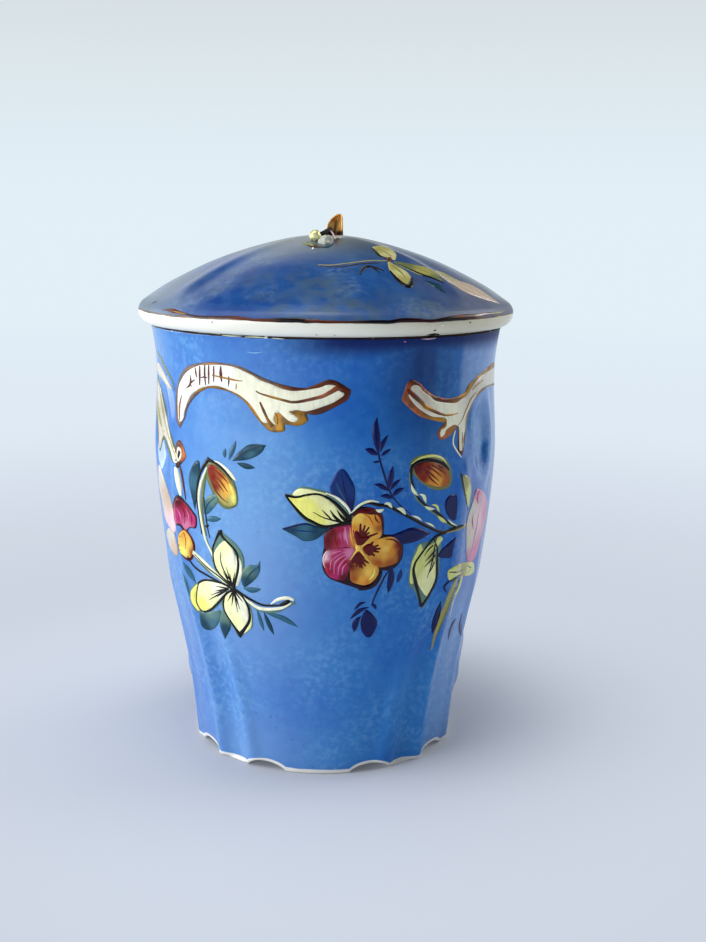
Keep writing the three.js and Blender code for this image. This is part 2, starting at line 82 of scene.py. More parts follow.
def smooth_curve(stations: Sequence[Point]) -> Callable[[np.ndarray], np.ndarray]:
    """Makes a smooth function through a few stations.

    Args:
        stations: Pairs of place and value, with rising places.

    Returns:
        A function from places to values.
    """
    places = np.array([place for place, _ in stations], float)
    values = np.array([value for _, value in stations], float)
    slopes = np.empty_like(values)
    slopes[1:-1] = (values[2:] - values[:-2]) / (places[2:] - places[:-2])
    steps = np.diff(values) / np.diff(places)
    slopes[0] = 1.5 * steps[0] - 0.5 * slopes[1]
    slopes[-1] = 1.5 * steps[-1] - 0.5 * slopes[-2]

    def curve(place: np.ndarray) -> np.ndarray:
        """Reads the curve, held at its end values outside the stations.

        Args:
            place: Where it is read.

        Returns:
            The values there.
        """
        at = np.clip(place, places[0], places[-1])
        left = np.clip(np.searchsorted(places, at, side="right") - 1, 0, len(places) - 2)
        width = places[left + 1] - places[left]
        t = (at - places[left]) / width
        rise = (2 * t**3 - 3 * t**2 + 1) * values[left] + (3 * t**2 - 2 * t**3) * values[left + 1]
        lean = (t**3 - 2 * t**2 + t) * slopes[left] + (t**3 - t**2) * slopes[left + 1]
        return rise + lean * width

    return curve


def feed(place: Socket, value: "Feed") -> None:
    """Sets an input of a node, or joins an output to it.

    Args:
        place: The input.
        value: A plain value or colour, or a term, a socket or a node's first output.
    """
    if isinstance(value, Term):
        value = value.socket
    elif isinstance(value, Node):
        value = value.outputs[0]
    if isinstance(value, Socket):
        place.id_data.links.new(value, place)
    elif isinstance(value, tuple):
        place.default_value = (*value, 1.0)
    else:
        place.default_value = value


class Term:
    """One number in a node tree. Python's operators add the Math nodes that combine such numbers."""

    def __init__(self, socket: Socket) -> None:
        """Wraps a socket."""
        self.socket = socket

    def math(self, operation: str, *others: "Term | float") -> "Term":
        """Adds a Math node.

        Args:
            operation: The node's operation.
            others: What follows this number in the operation.

        Returns:
            The result.
        """
        node = self.socket.id_data.nodes.new("ShaderNodeMath")
        node.operation = operation
        for place, operand in zip(node.inputs, (self, *others)):
            feed(place, operand)
        return Term(node.outputs[0])

    def __add__(self, other: "Term | float") -> "Term":
        """Adds."""
        return self.math("ADD", other)

    def __sub__(self, other: "Term | float") -> "Term":
        """Takes away."""
        return self.math("SUBTRACT", other)

    def __rsub__(self, other: float) -> "Term":
        """Takes this away from a plain number."""
        return self.math("MULTIPLY", -1.0).math("ADD", other)

    def __mul__(self, other: "Term | float") -> "Term":
        """Multiplies."""
        return self.math("MULTIPLY", other)

    def __truediv__(self, other: "Term | float") -> "Term":
        """Divides."""
        return self.math("DIVIDE", other)

    __radd__ = __add__
    __rmul__ = __mul__

    def ramp(self, low: "Term | float", high: "Term | float") -> "Term":
        """Rises smoothly from 0 at low to 1 at high.

        Args:
            low: Where the rise starts.
            high: Where the rise ends.

        Returns:
            The eased share.
        """
        node = self.socket.id_data.nodes.new("ShaderNodeMapRange")
        node.interpolation_type = "SMOOTHSTEP"
        for place, operand in zip(node.inputs, (self, low, high)):
            feed(place, operand)
        return Term(node.outputs[0])

    def bump(self, width: "Term | float") -> "Term":
        """A bell of a given half-width round zero."""
        share = self / width
        return (share * share * -1.0).math("EXPONENT")


Feed = Term | Node | Socket | Colour | Vector | Thing | Material | float | str
Terms = tuple[Term, Term, Term]


class Tree:
    """A node tree, with short ways to add what shapes, finishes and the sky share."""

    def __init__(self, tree: bpy.types.NodeTree) -> None:
        """Wraps a tree and empties it."""
        tree.nodes.clear()
        self.tree = tree

    def node(self, kind: str, feeds: dict[str | int, Feed] | None = None, **options: object) -> Node:
        """Adds a node.

        Args:
            kind: Its type.
            feeds: What its inputs get, by their names or numbers.
            options: Its settings.

        Returns:
            The node.
        """
        node = self.tree.nodes.new(kind)
        for name, value in options.items():
            setattr(node, name, value)
        for name, value in (feeds or {}).items():
            feed(node.inputs[name], value)
        return node

    def split(self, vector: Feed, scale: float = 1 / MM) -> Terms:
        """The three parts of a vector, in millimetres if no other scale is given."""
        x, y, z = (Term(part) * scale for part in self.node("ShaderNodeSeparateXYZ", {0: vector}).outputs)
        return x, y, z

    def mix(self, share: Term, first: Colour | Socket, second: Colour | Socket) -> Socket:
        """Blends two colours.

        Args:
            share: How much of the second colour shows.
            first: The colour at share 0.
            second: The colour at share 1.

        Returns:
            The blended colour.
        """
        return self.node("ShaderNodeMix", {0: share, 6: first, 7: second}, data_type="RGBA").outputs[2]


class ShapeTree(Tree):
    """A Geometry Nodes group with named sizes, applied to one object and then taken off it."""

    def __init__(self, name: str, sizes: dict[str, float]) -> None:
        """Makes the group with its geometry sockets and one input for each size.

        Args:
            name: The group's name.
            sizes: Its named sizes.
        """
        super().__init__(bpy.data.node_groups.new(name, "GeometryNodeTree"))
        face = self.tree.interface
        face.new_socket(name="Geometry", in_out="INPUT", socket_type="NodeSocketGeometry")
        face.new_socket(name="Geometry", in_out="OUTPUT", socket_type="NodeSocketGeometry")
        self.sizes = sizes
        for size in sizes:
            face.new_socket(name=size, in_out="INPUT", socket_type="NodeSocketFloat")
        self.source = self.node("NodeGroupInput")

    def size(self, name: str) -> Term:
        """A named size as a number in the tree."""
        return Term(self.source.outputs[name])

    def place(self) -> Terms:
        """The place of each point in millimetres."""
        return self.split(self.node("GeometryNodeInputPosition"))

    def join(self, *parts: Term) -> Node:
        """Joins three numbers to a vector."""
        return self.node("ShaderNodeCombineXYZ", dict(enumerate(parts)))

    def attribute(self, name: str) -> Term:
        """A number stored on the mesh."""
        return Term(self.node("GeometryNodeInputNamedAttribute", {0: name}, data_type="FLOAT").outputs[0])

    def move(self, x: Term, y: Term, z: Term) -> Node:
        """Shifts every point of the group's mesh.

        Args:
            x: Shift along X in millimetres.
            y: Shift along Y in millimetres.
            z: Shift along Z in millimetres.

        Returns:
            The node that gives the shifted mesh.
        """
        shift = self.join(x * MM, y * MM, z * MM)
        return self.node("GeometryNodeSetPosition", {"Geometry": self.source, "Offset": shift})

    def apply(self, obj: Thing, geometry: Node, finish: Material) -> Thing:
        """Ends the group and bakes it into the object's mesh.

        Args:
            obj: The object that gives the group its mesh and takes the result.
            geometry: The node that gives the group's last geometry.
            finish: The material of the result.

        Returns:
            The same object with its plain new mesh.
        """
        real = self.node("GeometryNodeRealizeInstances", {0: geometry})
        dressed = self.node("GeometryNodeSetMaterial", {"Geometry": real, "Material": finish})
        self.node("NodeGroupOutput", {0: dressed})
        modifier = obj.modifiers.new("shape", "NODES")
        modifier.node_group = self.tree
        for item in self.tree.interface.items_tree:
            if item.in_out == "INPUT" and item.name in self.sizes:
                modifier[item.identifier] = float(self.sizes[item.name])
        graph = bpy.context.evaluated_depsgraph_get()
        result = bpy.data.meshes.new_from_object(obj.evaluated_get(graph))
        obj.modifiers.remove(modifier)
        obj.data = result
        result.name = obj.name
        return obj


class ShaderTree(Tree):
    """The node tree of one material, with short ways to add what the finishes share."""

    def __init__(self, name: str) -> None:
        """Makes a material with one Principled shader.

        Args:
            name: The material's name.
        """
        self.material = bpy.data.materials.new(name)
        self.material.use_nodes = True
        super().__init__(self.material.node_tree)
        self.shader = self.node("ShaderNodeBsdfPrincipled")
        self.out = self.node("ShaderNodeOutputMaterial", {0: self.shader})
        self.object_place = self.node("ShaderNodeTexCoord").outputs["Object"]

    def place(self) -> Terms:
        """The place on the object in millimetres."""
        return self.split(self.object_place)

    def noise(self, scale: float, detail: float = 3.0, stretch: Vector = Vector((1, 1, 1))) -> Term:
        """Noise on the object's own coordinates.

        Args:
            scale: Waves per metre.
            detail: How many finer layers it has.
            stretch: How much faster it runs along each axis.

        Returns:
            The noise, about 0.5 on average.
        """
        turned = self.node("ShaderNodeMapping", {"Scale": stretch, "Vector": self.object_place})
        feeds = {"Scale": scale, "Detail": detail, "Vector": turned}
        return Term(self.node("ShaderNodeTexNoise", feeds).outputs[0])

    def attribute(self, name: str) -> Term:
        """A number stored on the mesh."""
        return Term(self.node("ShaderNodeAttribute", attribute_name=name).outputs["Fac"])

    def tint(self) -> Socket:
        """The colour stored on the mesh."""
        return self.node("ShaderNodeAttribute", attribute_name="tint").outputs["Color"]

    def darker(self, colour: Socket, share: float) -> Socket:
        """A colour with only a share of its light."""
        return self.node("ShaderNodeVectorMath", {0: colour, "Scale": share}, operation="SCALE").outputs[0]

    def set(self, name: str, value: Feed) -> None:
        """Feeds one of the shader's inputs."""
        feed(self.shader.inputs[name], value)

    def sides(self) -> Term:
        """Finds the sides of the wall where a stronger reflection is painted in.

        Returns:
            How far a point lies in them, from 0 to 1.
        """
        x, y, _ = self.place()
        turn = x.math("ARCTAN2", y * -1.0) * (1 / DEGREE)
        return turn.ramp(*RIGHT_PAINTED_SHEEN) + (turn * -1.0).ramp(*LEFT_PAINTED_SHEEN)

    def relief(self, height: Term, depth: float, strength: float = 1.0) -> None:
        """Bends the normals as if the surface rose by a height.

        Args:
            height: The height, from 0 to 1.
            depth: What a height of 1 measures, in metres.
            strength: The share of the effect.
        """
        feeds = {"Strength": strength, "Distance": depth, "Height": height}
        self.set("Normal", self.node("ShaderNodeBump", feeds))


@dataclass(frozen=True)
class BlueGround:
    """The bright blue ground under a glossy glaze, with its mottling, wear and bare edges, and painted light
    and shade: a pale wash at the left front, shade under the lid at the right, a dark rim and a stronger
    reflection on the sides.
    """

    deep: Colour = paint(18, 97, 188)
    bright: Colour = paint(62, 142, 210)
    dust: Colour = paint(120, 180, 226)
    # The colour of the painted light on the left front.
    film: Colour = paint(156, 194, 230)
    speck: Colour = paint(28, 40, 78)
    bare: Colour = paint(240, 238, 230)
    rim_wear: Colour = paint(44, 30, 24)
    # The deep navy of the painted shadow under the lid's rim on the right.
    pooled: Colour = paint(4, 16, 84)
    foot_edge: float = 1.05
    rim_edge: float = 0.42
    gloss: float = 0.5
    haze: float = 0.1
    coat_gloss: float = 0.06
    coat_depth: float = 0.75
    edge_depth: float = 0.9

    def blue(self, shader: ShaderTree) -> Socket:
        """The mottled blue itself.

        Args:
            shader: The material's tree.

        Returns:
            The blue with clouds, dust and specks, and a painted pale light on the left front.
        """
        clouds = shader.noise(28, 4).ramp(0.35, 0.68)
        grain = shader.noise(420, 3).ramp(0.3, 0.75)
        blue = shader.mix(clouds * 0.55 + grain * 0.25, self.deep, self.bright)
        dusting = shader.noise(60, 8).ramp(0.36, 0.72) * shader.noise(800, 3).ramp(0.42, 0.66)
        blue = shader.mix(dusting * 0.36, blue, self.dust)
        x, _, z = shader.place()
        # Painted light: a pale wash on the left front, strongest at mid-height and faint near the foot, where
        # the window lights the wall.
        film = (x + 15.0).bump(16.0) * ((z - 50.0).bump(30.0) * 0.4 + 0.3 - z.ramp(4.0, 20.0) * 0.24)
        blue = shader.mix(film, blue, self.film)
        specks = shader.noise(900, 1).ramp(0.765, 0.79)
        return shader.mix(specks * 0.4, blue, self.speck)

    def build(self) -> Material:
        """Makes the wall's material.

        Returns:
            The blue ground.
        """
        shader = ShaderTree("blue_ground")
        wobble = shader.noise(140, 4) - 0.5
        rise = (shader.attribute("rise") + wobble * 0.9).ramp(self.foot_edge, self.foot_edge + 0.16)
        drop = (shader.attribute("drop") + wobble * 0.7).ramp(self.rim_edge, self.rim_edge + 0.1)
        # Painted shadow: the rim's top is mostly dark brown-black for the gap under the lid, with pale bare
        # porcelain in worn spots.
        rim_shadow_share = shader.noise(500, 3).ramp(0.25, 0.32)
        edge = shader.mix(rim_shadow_share, self.bare, self.rim_wear)
        below = shader.attribute("drop")
        bare = shader.mix(below.math("ABSOLUTE").ramp(2.0, 3.0), edge, self.bare)
        across = shader.place()[0]
        # Painted shade: deep navy just under the rim from the middle to the right, and a streaky dark run
        # lower down near the right side, where the lid's rim shades the wall.
        pool = (1.0 - below.ramp(1.0, 6.0)) * across.ramp(-14.0, 6.0)
        streaks = shader.noise(120, 3, Vector((1.0, 1.0, 0.12))).ramp(0.3, 0.62)
        run = (across - 22.0).bump(9.0) * (1.0 - below.ramp(6.0, 44.0)) * (streaks * 0.4 + 0.6)
        pool = pool.math("MAXIMUM", run * 0.9)
        blue = shader.mix(pool * 0.93, self.blue(shader), self.pooled)
        shader.set("Base Color", shader.mix(rise * drop, bare, blue))
        covered = shader.attribute("rise").ramp(0.2, 0.9)
        shader.set("Roughness", 0.5 - covered * (0.5 - self.gloss))
        shader.set("Specular IOR Level", self.haze)
        sides = shader.sides()
        # Less coat over the painted shade and on the right front, so that these reflect less and stay dark as
        # if in shade.
        clear = across.ramp(-16.0, 12.0) * (1.0 - sides)
        thinned = pool.math("MAXIMUM", clear * 0.85) * covered
        shader.set("Coat Weight", self.coat_depth - thinned * 0.7)
        shader.set("Coat Roughness", self.coat_gloss)
        # Painted reflection: the coat reflects more on the wall's sides.
        shader.set("Coat IOR", sides * self.edge_depth + 1.5)
        shader.relief(shader.noise(55, 2) * 0.75 + shader.noise(900, 2) * 0.02, 0.45 * MM, 0.35)
        return shader.material


@dataclass(frozen=True)
class LidGlaze:
    """The lid: worn blue crown, a broken gilt line and a warm white rounded rim, with a painted reflection on
    its left and painted shade on its right.
    """

    deep: Colour = paint(12, 64, 134)
    bright: Colour = paint(42, 92, 154)
    worn: Colour = paint(84, 102, 100)
    grey: Colour = paint(78, 92, 92)
    veil: Colour = paint(134, 148, 154)
    dim: Colour = paint(98, 98, 94)
    mist: Colour = paint(120, 150, 180)
    cream: Colour = paint(246, 243, 228)
    brown: Colour = paint(64, 34, 16)
    gold: Colour = paint(116, 72, 40)
    beige: Colour = paint(214, 206, 180)
    line_half_width: float = 0.3
    gloss: float = 0.16
    edge_gloss: float = 0.42

    def build(self) -> Material:
        """Makes the lid's material.

        Returns:
            The worn glaze.
        """
        shader = ShaderTree("lid_glaze")
        wander = (shader.noise(70, 4) - 0.5) * 0.9
        dome = shader.attribute("dome") + wander
        patches = shader.noise(34, 7).ramp(0.47, 0.62) * shader.noise(260, 3).ramp(0.3, 0.6)
        clouds = shader.noise(42, 5).ramp(0.34, 0.66) * 0.6 + shader.noise(300, 5).ramp(0.38, 0.62) * 0.4
        blue = shader.mix(clouds, self.deep, self.bright)
        haze = shader.noise(90, 8).ramp(0.5, 0.7) * shader.noise(700, 3).ramp(0.3, 0.7)
        blue = shader.mix(haze * 0.55, blue, self.mist)
        blue = shader.mix(dome.ramp(13.0, 36.0) * 0.9, blue, self.grey)
        x = shader.place()[0]
        # Painted reflection: a pale grey over the lid's left.
        blue = shader.mix((x * -1.0).ramp(22.0, 42.0) * 0.6, blue, self.veil)
        # Painted shade: a dull grey over the lid's right.
        blue = shader.mix(x.ramp(10.0, 40.0) * 0.55, blue, self.dim)
        crown = shader.mix(patches * 0.6, blue, self.worn)
        # Painted shade: the white rim turns a darker cream towards the right.
        rim = shader.mix(x.ramp(0.0, 32.0), self.cream, self.beige)
        body = shader.mix(dome.ramp(-0.1, 0.1), rim, crown)
        thin = shader.noise(160, 3).ramp(0.25, 0.75) * 0.75 + 0.35
        half = thin * self.line_half_width
        line = 1.0 - dome.math("ABSOLUTE").ramp(half * 0.7, half)
        gilt = shader.mix(shader.noise(230, 4).ramp(0.46, 0.62), self.brown, self.gold)
        shader.set("Base Color", shader.mix(line, body, gilt))
        edge = (1.0 - dome.ramp(0.5, 5.0)) * dome.ramp(-0.2, 0.3) * (self.edge_gloss - self.gloss)
        shader.set("Roughness", shader.noise(300, 2) * 0.14 + edge + self.gloss)
        shader.relief(shader.noise(48, 3) * 0.8 + shader.noise(900, 2) * 0.03, 0.5 * MM, 0.4)
        return shader.material


@dataclass(frozen=True)
class WhiteGlaze:
    """Warm white glazed porcelain with faint pooling and pinholes."""

    name: str = "white_porcelain"
    light: Colour = paint(247, 245, 236)
    pool: Colour = paint(226, 230, 224)
    pinhole: Colour = paint(120, 96, 66)
    gloss: float = 0.16

    def build(self) -> Material:
        """Makes the glazed porcelain.

        Returns:
            The porcelain.
        """
        shader = ShaderTree(self.name)
        white = shader.mix(shader.noise(40, 4).ramp(0.35, 0.7) * 0.6, self.light, self.pool)
        shader.set("Base Color", shader.mix(shader.noise(620, 1).ramp(0.78, 0.8), white, self.pinhole))
        shader.set("Roughness", shader.noise(240, 2) * 0.12 + self.gloss)
        shader.relief(shader.noise(70, 3), 0.25 * MM, 0.3)
        return shader.material


@dataclass(frozen=True)
class Gilding:
    """Burnished gold that shows brown where it is thin."""

    name: str = "knob_gilding"
    gold: Colour = paint(222, 172, 82)
    brown: Colour = paint(92, 48, 18)
    wear: float = 0.6
    gloss: float = 0.2
    metal: float = 1.0

    def build(self) -> Material:
        """Makes the gilding.

        Returns:
            The gilding.
        """
        shader = ShaderTree(self.name)
        thin = shader.noise(380, 4).ramp(self.wear - 0.1, self.wear + 0.12)
        shader.set("Base Color", shader.mix(thin, self.gold, self.brown))
        shader.set("Metallic", (2.0 - thin) * (self.metal / 2))
        shader.set("Roughness", shader.noise(600, 2) * 0.16 + self.gloss)
        shader.relief(shader.noise(500, 3), 0.12 * MM, 0.35)
        return shader.material


@dataclass(frozen=True)
class LeafGold:
    """Thin gold in the curled leaf, with painted highlights on both flanks and painted shade down its hollow.
    """

    gold: Colour = paint(236, 176, 96)
    glow: Colour = paint(255, 248, 196)
    flame: Colour = paint(255, 214, 120)
    # The dark brown of the painted shade in the hollow.
    hollow: Colour = paint(56, 24, 8)
    middle: float = 2.0
    foot: float = 121.2
    belly: float = 122.3
    metal: float = 0.45
    gloss: float = 0.32

    def build(self) -> Material:
        """Makes the leaf's gilding.

        Returns:
            The gilding.
        """
        shader = ShaderTree("leaf_gilding")
        x, _, z = shader.place()
        # Painted highlights: a pale yellow on the left flank and an orange yellow on the right flank.
        belly = (z - self.belly).bump(1.0)
        gold = shader.mix((x - self.middle + 1.0).bump(0.45) * belly, self.gold, self.glow)
        gold = shader.mix((x - self.middle - 1.0).bump(0.4) * belly, gold, self.flame)
        # Painted shade: dark brown down the hollow's crease and across the leaf's foot, fading out towards
        # the tip.
        crease = (x - self.middle + (z - self.foot) * -0.12).bump(0.42)
        low = 1.0 - z.ramp(self.foot - 0.4, self.foot + 0.3)
        dark = crease.math("MAXIMUM", low) * (1.0 - z.ramp(123.2, 124.0))
        shader.set("Base Color", shader.mix(dark * 0.95, gold, self.hollow))
        shader.set("Metallic", self.metal)
        shader.set("Roughness", shader.noise(600, 2) * 0.16 + self.gloss)
        shader.relief(shader.noise(500, 3), 0.12 * MM, 0.35)
        return shader.material


@dataclass(frozen=True)
class Enamel:
    """Painted enamel: each mark's own tint, streaked by the brush, under a soft gloss, with a stronger
    reflection painted in on the wall's sides.
    """

    streak: float = 0.3
    gloss: float = 0.16
    shine: float = 0.2
    side_depth: float = 1.4

    def build(self) -> Material:
        """Makes the painters' enamel.

        Returns:
            The enamel.
        """
        shader = ShaderTree("painted_enamel")
        tint = shader.tint()
        brushed = shader.noise(1100, 2, Vector((1.0, 1.0, 0.3))).ramp(0.35, 0.7) * self.streak
        thin = shader.noise(260, 3).ramp(0.45, 0.75) * (self.streak * 0.6)
        shader.set("Base Color", shader.mix(brushed + thin, tint, shader.darker(tint, 0.62)))
        shader.set("Roughness", shader.noise(500, 2) * 0.14 + self.gloss)
        shader.set("Specular IOR Level", self.shine)
        # Painted reflection: the enamel reflects more on the wall's sides.
        shader.set("IOR", shader.sides() * self.side_depth + 1.5)
        shader.relief(shader.noise(1400, 2, Vector((1.0, 1.0, 0.3))), 0.05 * MM, 0.3)
        return shader.material


@dataclass(frozen=True)
class PaintedGold:
    """Gold laid on with the brush: bright where it is thick, brown where it is thin."""

    wear: float = 0.55
    gloss: float = 0.3

    def build(self) -> Material:
        """Makes the gilt of the scrollwork.

        Returns:
            The gilt.
        """
        shader = ShaderTree("painted_gold")
        tint = shader.tint()
        thin = shader.noise(420, 4).ramp(self.wear - 0.12, self.wear + 0.1)
        shader.set("Base Color", shader.mix(thin * 0.8, tint, shader.darker(tint, 0.35)))
        shader.set("Metallic", 0.6 - thin * 0.5)
        shader.set("Roughness", shader.noise(700, 2) * 0.2 + self.gloss)
        shader.relief(shader.noise(900, 3), 0.06 * MM, 0.35)
        return shader.material


def mesh_object(
    name: str,
    points: np.ndarray,
    faces: Iterable[Sequence[int]],
    finish: Material | None = None,
    numbers: dict[str, np.ndarray] | None = None,
) -> Thing:
    """Makes a smooth mesh object at the origin.

    Args:
        name: The object's name.
        points: The vertices in millimetres.
        faces: Vertex numbers of each face.
        finish: The material, if it is known already.
        numbers: Named numbers to store on the vertices.

    Returns:
        The new object.
    """
    mesh = bpy.data.meshes.new(name)
    mesh.from_pydata((np.asarray(points, float) * MM).tolist(), [], [list(face) for face in faces])
    mesh.polygons.foreach_set("use_smooth", [True] * len(mesh.polygons))
    for key, values in (numbers or {}).items():
        layer = mesh.attributes.new(key, "FLOAT", "POINT")
        layer.data.foreach_set("value", np.asarray(values, np.float32))
    if finish:
        mesh.materials.append(finish)
    obj = bpy.data.objects.new(name, mesh)
    bpy.context.scene.collection.objects.link(obj)
    return obj


def ring_faces(rings: int, columns: int) -> list[tuple[int, ...]]:
    """Faces of a closed body whose points are a pole, rings and another pole.

    Args:
        rings: How many rings it has.
        columns: How many points each ring has.

    Returns:
        The faces, which face outwards when the rings run anticlockwise round a rising axis.
    """
    faces = []
    last = 1 + (rings - 1) * columns
    for i in range(columns):
        following = (i + 1) % columns
        faces.append((0, 1 + following, 1 + i))
        faces.append((last + i, last + following, last + columns))
    for low in range(1, last, columns):
        high = low + columns
        for i in range(columns):
            following = (i + 1) % columns
            faces.append((low + i, low + following, high + following, high + i))
    return faces


def revolved(
    name: str,
    profile: Sequence[Point],
    columns: int,
    numbers: dict[str, Sequence[float]] | None = None,
) -> Thing:
    """Turns a profile about Z into a closed mesh.

    Args:
        name: The object's name.
        profile: Radius and height of each ring, from the axis below to the axis above.
        columns: How many points each ring has.
        numbers: Named numbers, one for each profile point.

    Returns:
        The new object.
    """
    turn = np.arange(columns) * (2 * math.pi / columns)
    rings = np.array(profile[1:-1], float)
    x = rings[:, :1] * np.sin(turn)
    y = -rings[:, :1] * np.cos(turn)
    z = np.repeat(rings[:, 1:], columns, axis=1)
    ring_points = np.stack([x, y, z], axis=-1).reshape(-1, 3)
    points = np.vstack([[[0, 0, profile[0][1]]], ring_points, [[0, 0, profile[-1][1]]]])
    stored = {}
    for key, values in (numbers or {}).items():
        inner = np.repeat(np.asarray(values[1:-1], float), columns)
        stored[key] = np.concatenate([[values[0]], inner, [values[-1]]])
    return mesh_object(name, points, ring_faces(len(rings), columns), numbers=stored)


def arc(radius: float, height: float, bend: float, start: float, end: float, steps: int) -> list[Point]:
    """Points of an arc in a profile.

    Args:
        radius: The arc centre's distance from the axis.
        height: The arc centre's height.
        bend: The arc's own radius.
        start: First angle in degrees, 0 pointing outwards.
        end: Last angle in degrees.
        steps: How many steps it has.

    Returns:
        The points from start to end.
    """
    angles = np.linspace(start, end, steps + 1) * DEGREE
    return [(radius + bend * math.cos(a), height + bend * math.sin(a)) for a in angles]


def dress(piece: Thing, body: str, slot: str, *nodes: str) -> Thing:
    """Puts a finished piece on its body.

    Args:
        piece: The finished piece.
        body: The body it moves with.
        slot: The record's material slot; not used.
        nodes: The solids that it stands for.

    Returns:
        The piece.
    """
    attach(piece, body)
    if nodes:
        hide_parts(*nodes)
    LOG.info("%s: %d faces on %s", piece.name, len(piece.data.polygons), body)
    return piece


@dataclass
class PhotoCamera:
    """The camera that took the picture: a long lens a little above the rim, turned slightly."""

    picture: tuple[int, int] = (706, 942)
    focal_pixels: float = 1200.0
    distance: float = 285.0
    height: float = 122.0
    azimuth: float = 2.7
    pitch: float = 11.487
    yaw_pixels: float = 28.0
    roll: float = 0.6
    obj: Thing | None = None

    def build(self) -> Thing:
        """Makes the camera and gives it to the scene.

        Returns:
            The camera.
        """
        data = bpy.data.cameras.new("photo_camera")
        data.sensor_fit = "AUTO"
        data.sensor_width = 36.0
        data.lens = self.focal_pixels / max(self.picture) * data.sensor_width
        data.clip_start = 0.01
        data.clip_end = 50.0
        self.obj = bpy.data.objects.new("photo_camera", data)
        bpy.context.scene.collection.objects.link(self.obj)
        heading = self.azimuth * DEGREE - math.atan(self.yaw_pixels / self.focal_pixels)
        turn = Matrix.Rotation(heading, 4, "Z")
        tilt = Matrix.Rotation(math.pi / 2 - self.pitch * DEGREE, 4, "X")
        roll = Matrix.Rotation(self.roll * DEGREE, 4, "Z")
        place = Vector((math.sin(self.azimuth * DEGREE), -math.cos(self.azimuth * DEGREE), 0))
        place *= self.distance * MM
        place.z = self.height * MM
        self.obj.matrix_world = Matrix.Translation(place) @ turn @ tilt @ roll
        bpy.context.scene.camera = self.obj
        return self.obj

    def ray(self, spot: Point) -> tuple[Vector, Vector]:
        """The line of sight through a spot of the picture.

        Args:
            spot: Pixels from the left and the top edge.

        Returns:
            Where the line starts and its direction.
        """
        across = (spot[0] - self.picture[0] / 2) / self.focal_pixels
        down = (spot[1] - self.picture[1] / 2) / self.focal_pixels
        world = self.obj.matrix_world
        sight = world.to_3x3() @ Vector((across, -down, -1.0))
        return world.translation.copy(), sight.normalized()


class Coat(Enum):
    """The coats of paint from the glaze outwards. Each value is a coat's height in millimetres."""

    HALO = 0.060
    BASE = 0.072
    PETAL = 0.090
    SHADE = 0.108
    LINE = 0.126
    GLINT = 0.144


class Pot(Enum):
    """The two sorts of paint."""

    ENAMEL = "enamel"
    GILT = "gilt"


class Ware(Enum):
    """What a sheet of painting is wrapped on."""

    WALL = "wall"
    LID = "lid"


@dataclass(frozen=True)
class Patch:
    """A painted area: its outline in the picture, and one colour or spots that each have theirs."""

    outline: Trace
    tints: Colour | tuple[tuple[Point, Colour], ...]
    coat: Coat
    pot: Pot = Pot.ENAMEL


@dataclass(frozen=True)
class Stroke:
    """A painted line: its course in the picture, with widths and colours at even shares of it."""

    course: Trace
    widths: tuple[float, ...]
    tints: tuple[Colour, ...]
    coat: Coat
    pot: Pot = Pot.ENAMEL


Mark = Patch | Stroke


def trace(text: str) -> Trace:
    """Reads spots of the picture, written as pairs of pixels from its left and top edge.

    Args:
        text: The pairs, with a comma inside each and blanks between them. A spot written twice
            is a corner; the line runs smoothly through all others.

    Returns:
        The spots.
    """
    pairs = (pair.split(",") for pair in text.split())
    return tuple((float(across), float(down)) for across, down in pairs)


def bend(
    before: np.ndarray, start: np.ndarray, end: np.ndarray, after: np.ndarray, step: float
) -> list[np.ndarray]:
    """Points of the smooth curve between two spots, without the second one.

    Args:
        before: The spot before the curve.
        start: Its first spot.
        end: Its last spot.
        after: The spot after it.
        step: The distance between its points.

    Returns:
        The points.
    """
    count = max(1, round(float(np.linalg.norm(end - start)) / step))
    slope = (end - before) / 2
    curl = before - 2.5 * start + 2 * end - after / 2
    twist = 1.5 * (start - end) + (after - before) / 2
    return [start + slope * t + curl * t**2 + twist * t**3 for t in np.arange(count) / count]


def through(spots: Trace, closed: bool, step: float) -> np.ndarray:
    """Runs a smooth line through spots, with corners where a spot is written twice.

    Args:
        spots: The spots in order.
        closed: Whether the line returns to its start.
        step: The distance between the line's points.

    Returns:
        The line's points as rows.
    """
    points = [np.array(spot, float) for spot in spots]
    corners = [i for i, (a, b) in enumerate(zip(spots, spots[1:])) if a == b]
    if closed and not corners:
        chains = [[points[-1], *points, points[0], points[1]]]
    else:
        if closed:
            first = corners[0] + 1
            points = points[first:] + points[:first]
            corners = [i - first for i in corners[1:]] + [len(points) - 1]
        ends = [-1, *corners] if closed else [-1, *corners, len(points) - 1]
        runs = [points[a + 1 : b + 1] for a, b in zip(ends, ends[1:])]
        chains = [[2 * run[0] - run[1], *run, 2 * run[-1] - run[-2]] for run in runs if len(run) > 1]
    result = []
    for chain in chains:
        for before, start, end, after in zip(chain, chain[1:], chain[2:], chain[3:]):
            result += bend(before, start, end, after, step)
    if not closed:
        result.append(points[-1])
    return np.array(result)


def area(ring: np.ndarray) -> float:
    """The area that a flat ring runs round anticlockwise."""
    x, y = ring[:, 0], ring[:, 1]
    return float((x * np.roll(y, -1) - np.roll(x, -1) * y).sum()) / 2


def inside(outline: np.ndarray, spots: np.ndarray) -> np.ndarray:
    """Tells which spots lie inside an outline.

    Args:
        outline: The closed outline's points.
        spots: The spots to test.

    Returns:
        True for each spot inside.
    """
    result = np.zeros(len(spots), bool)
    for (x0, y0), (x1, y1) in zip(outline, np.roll(outline, -1, axis=0)):
        if y0 != y1:
            crossed = (y0 > spots[:, 1]) != (y1 > spots[:, 1])
            result ^= crossed & (spots[:, 0] < (x1 - x0) * (spots[:, 1] - y0) / (y1 - y0) + x0)
    return result


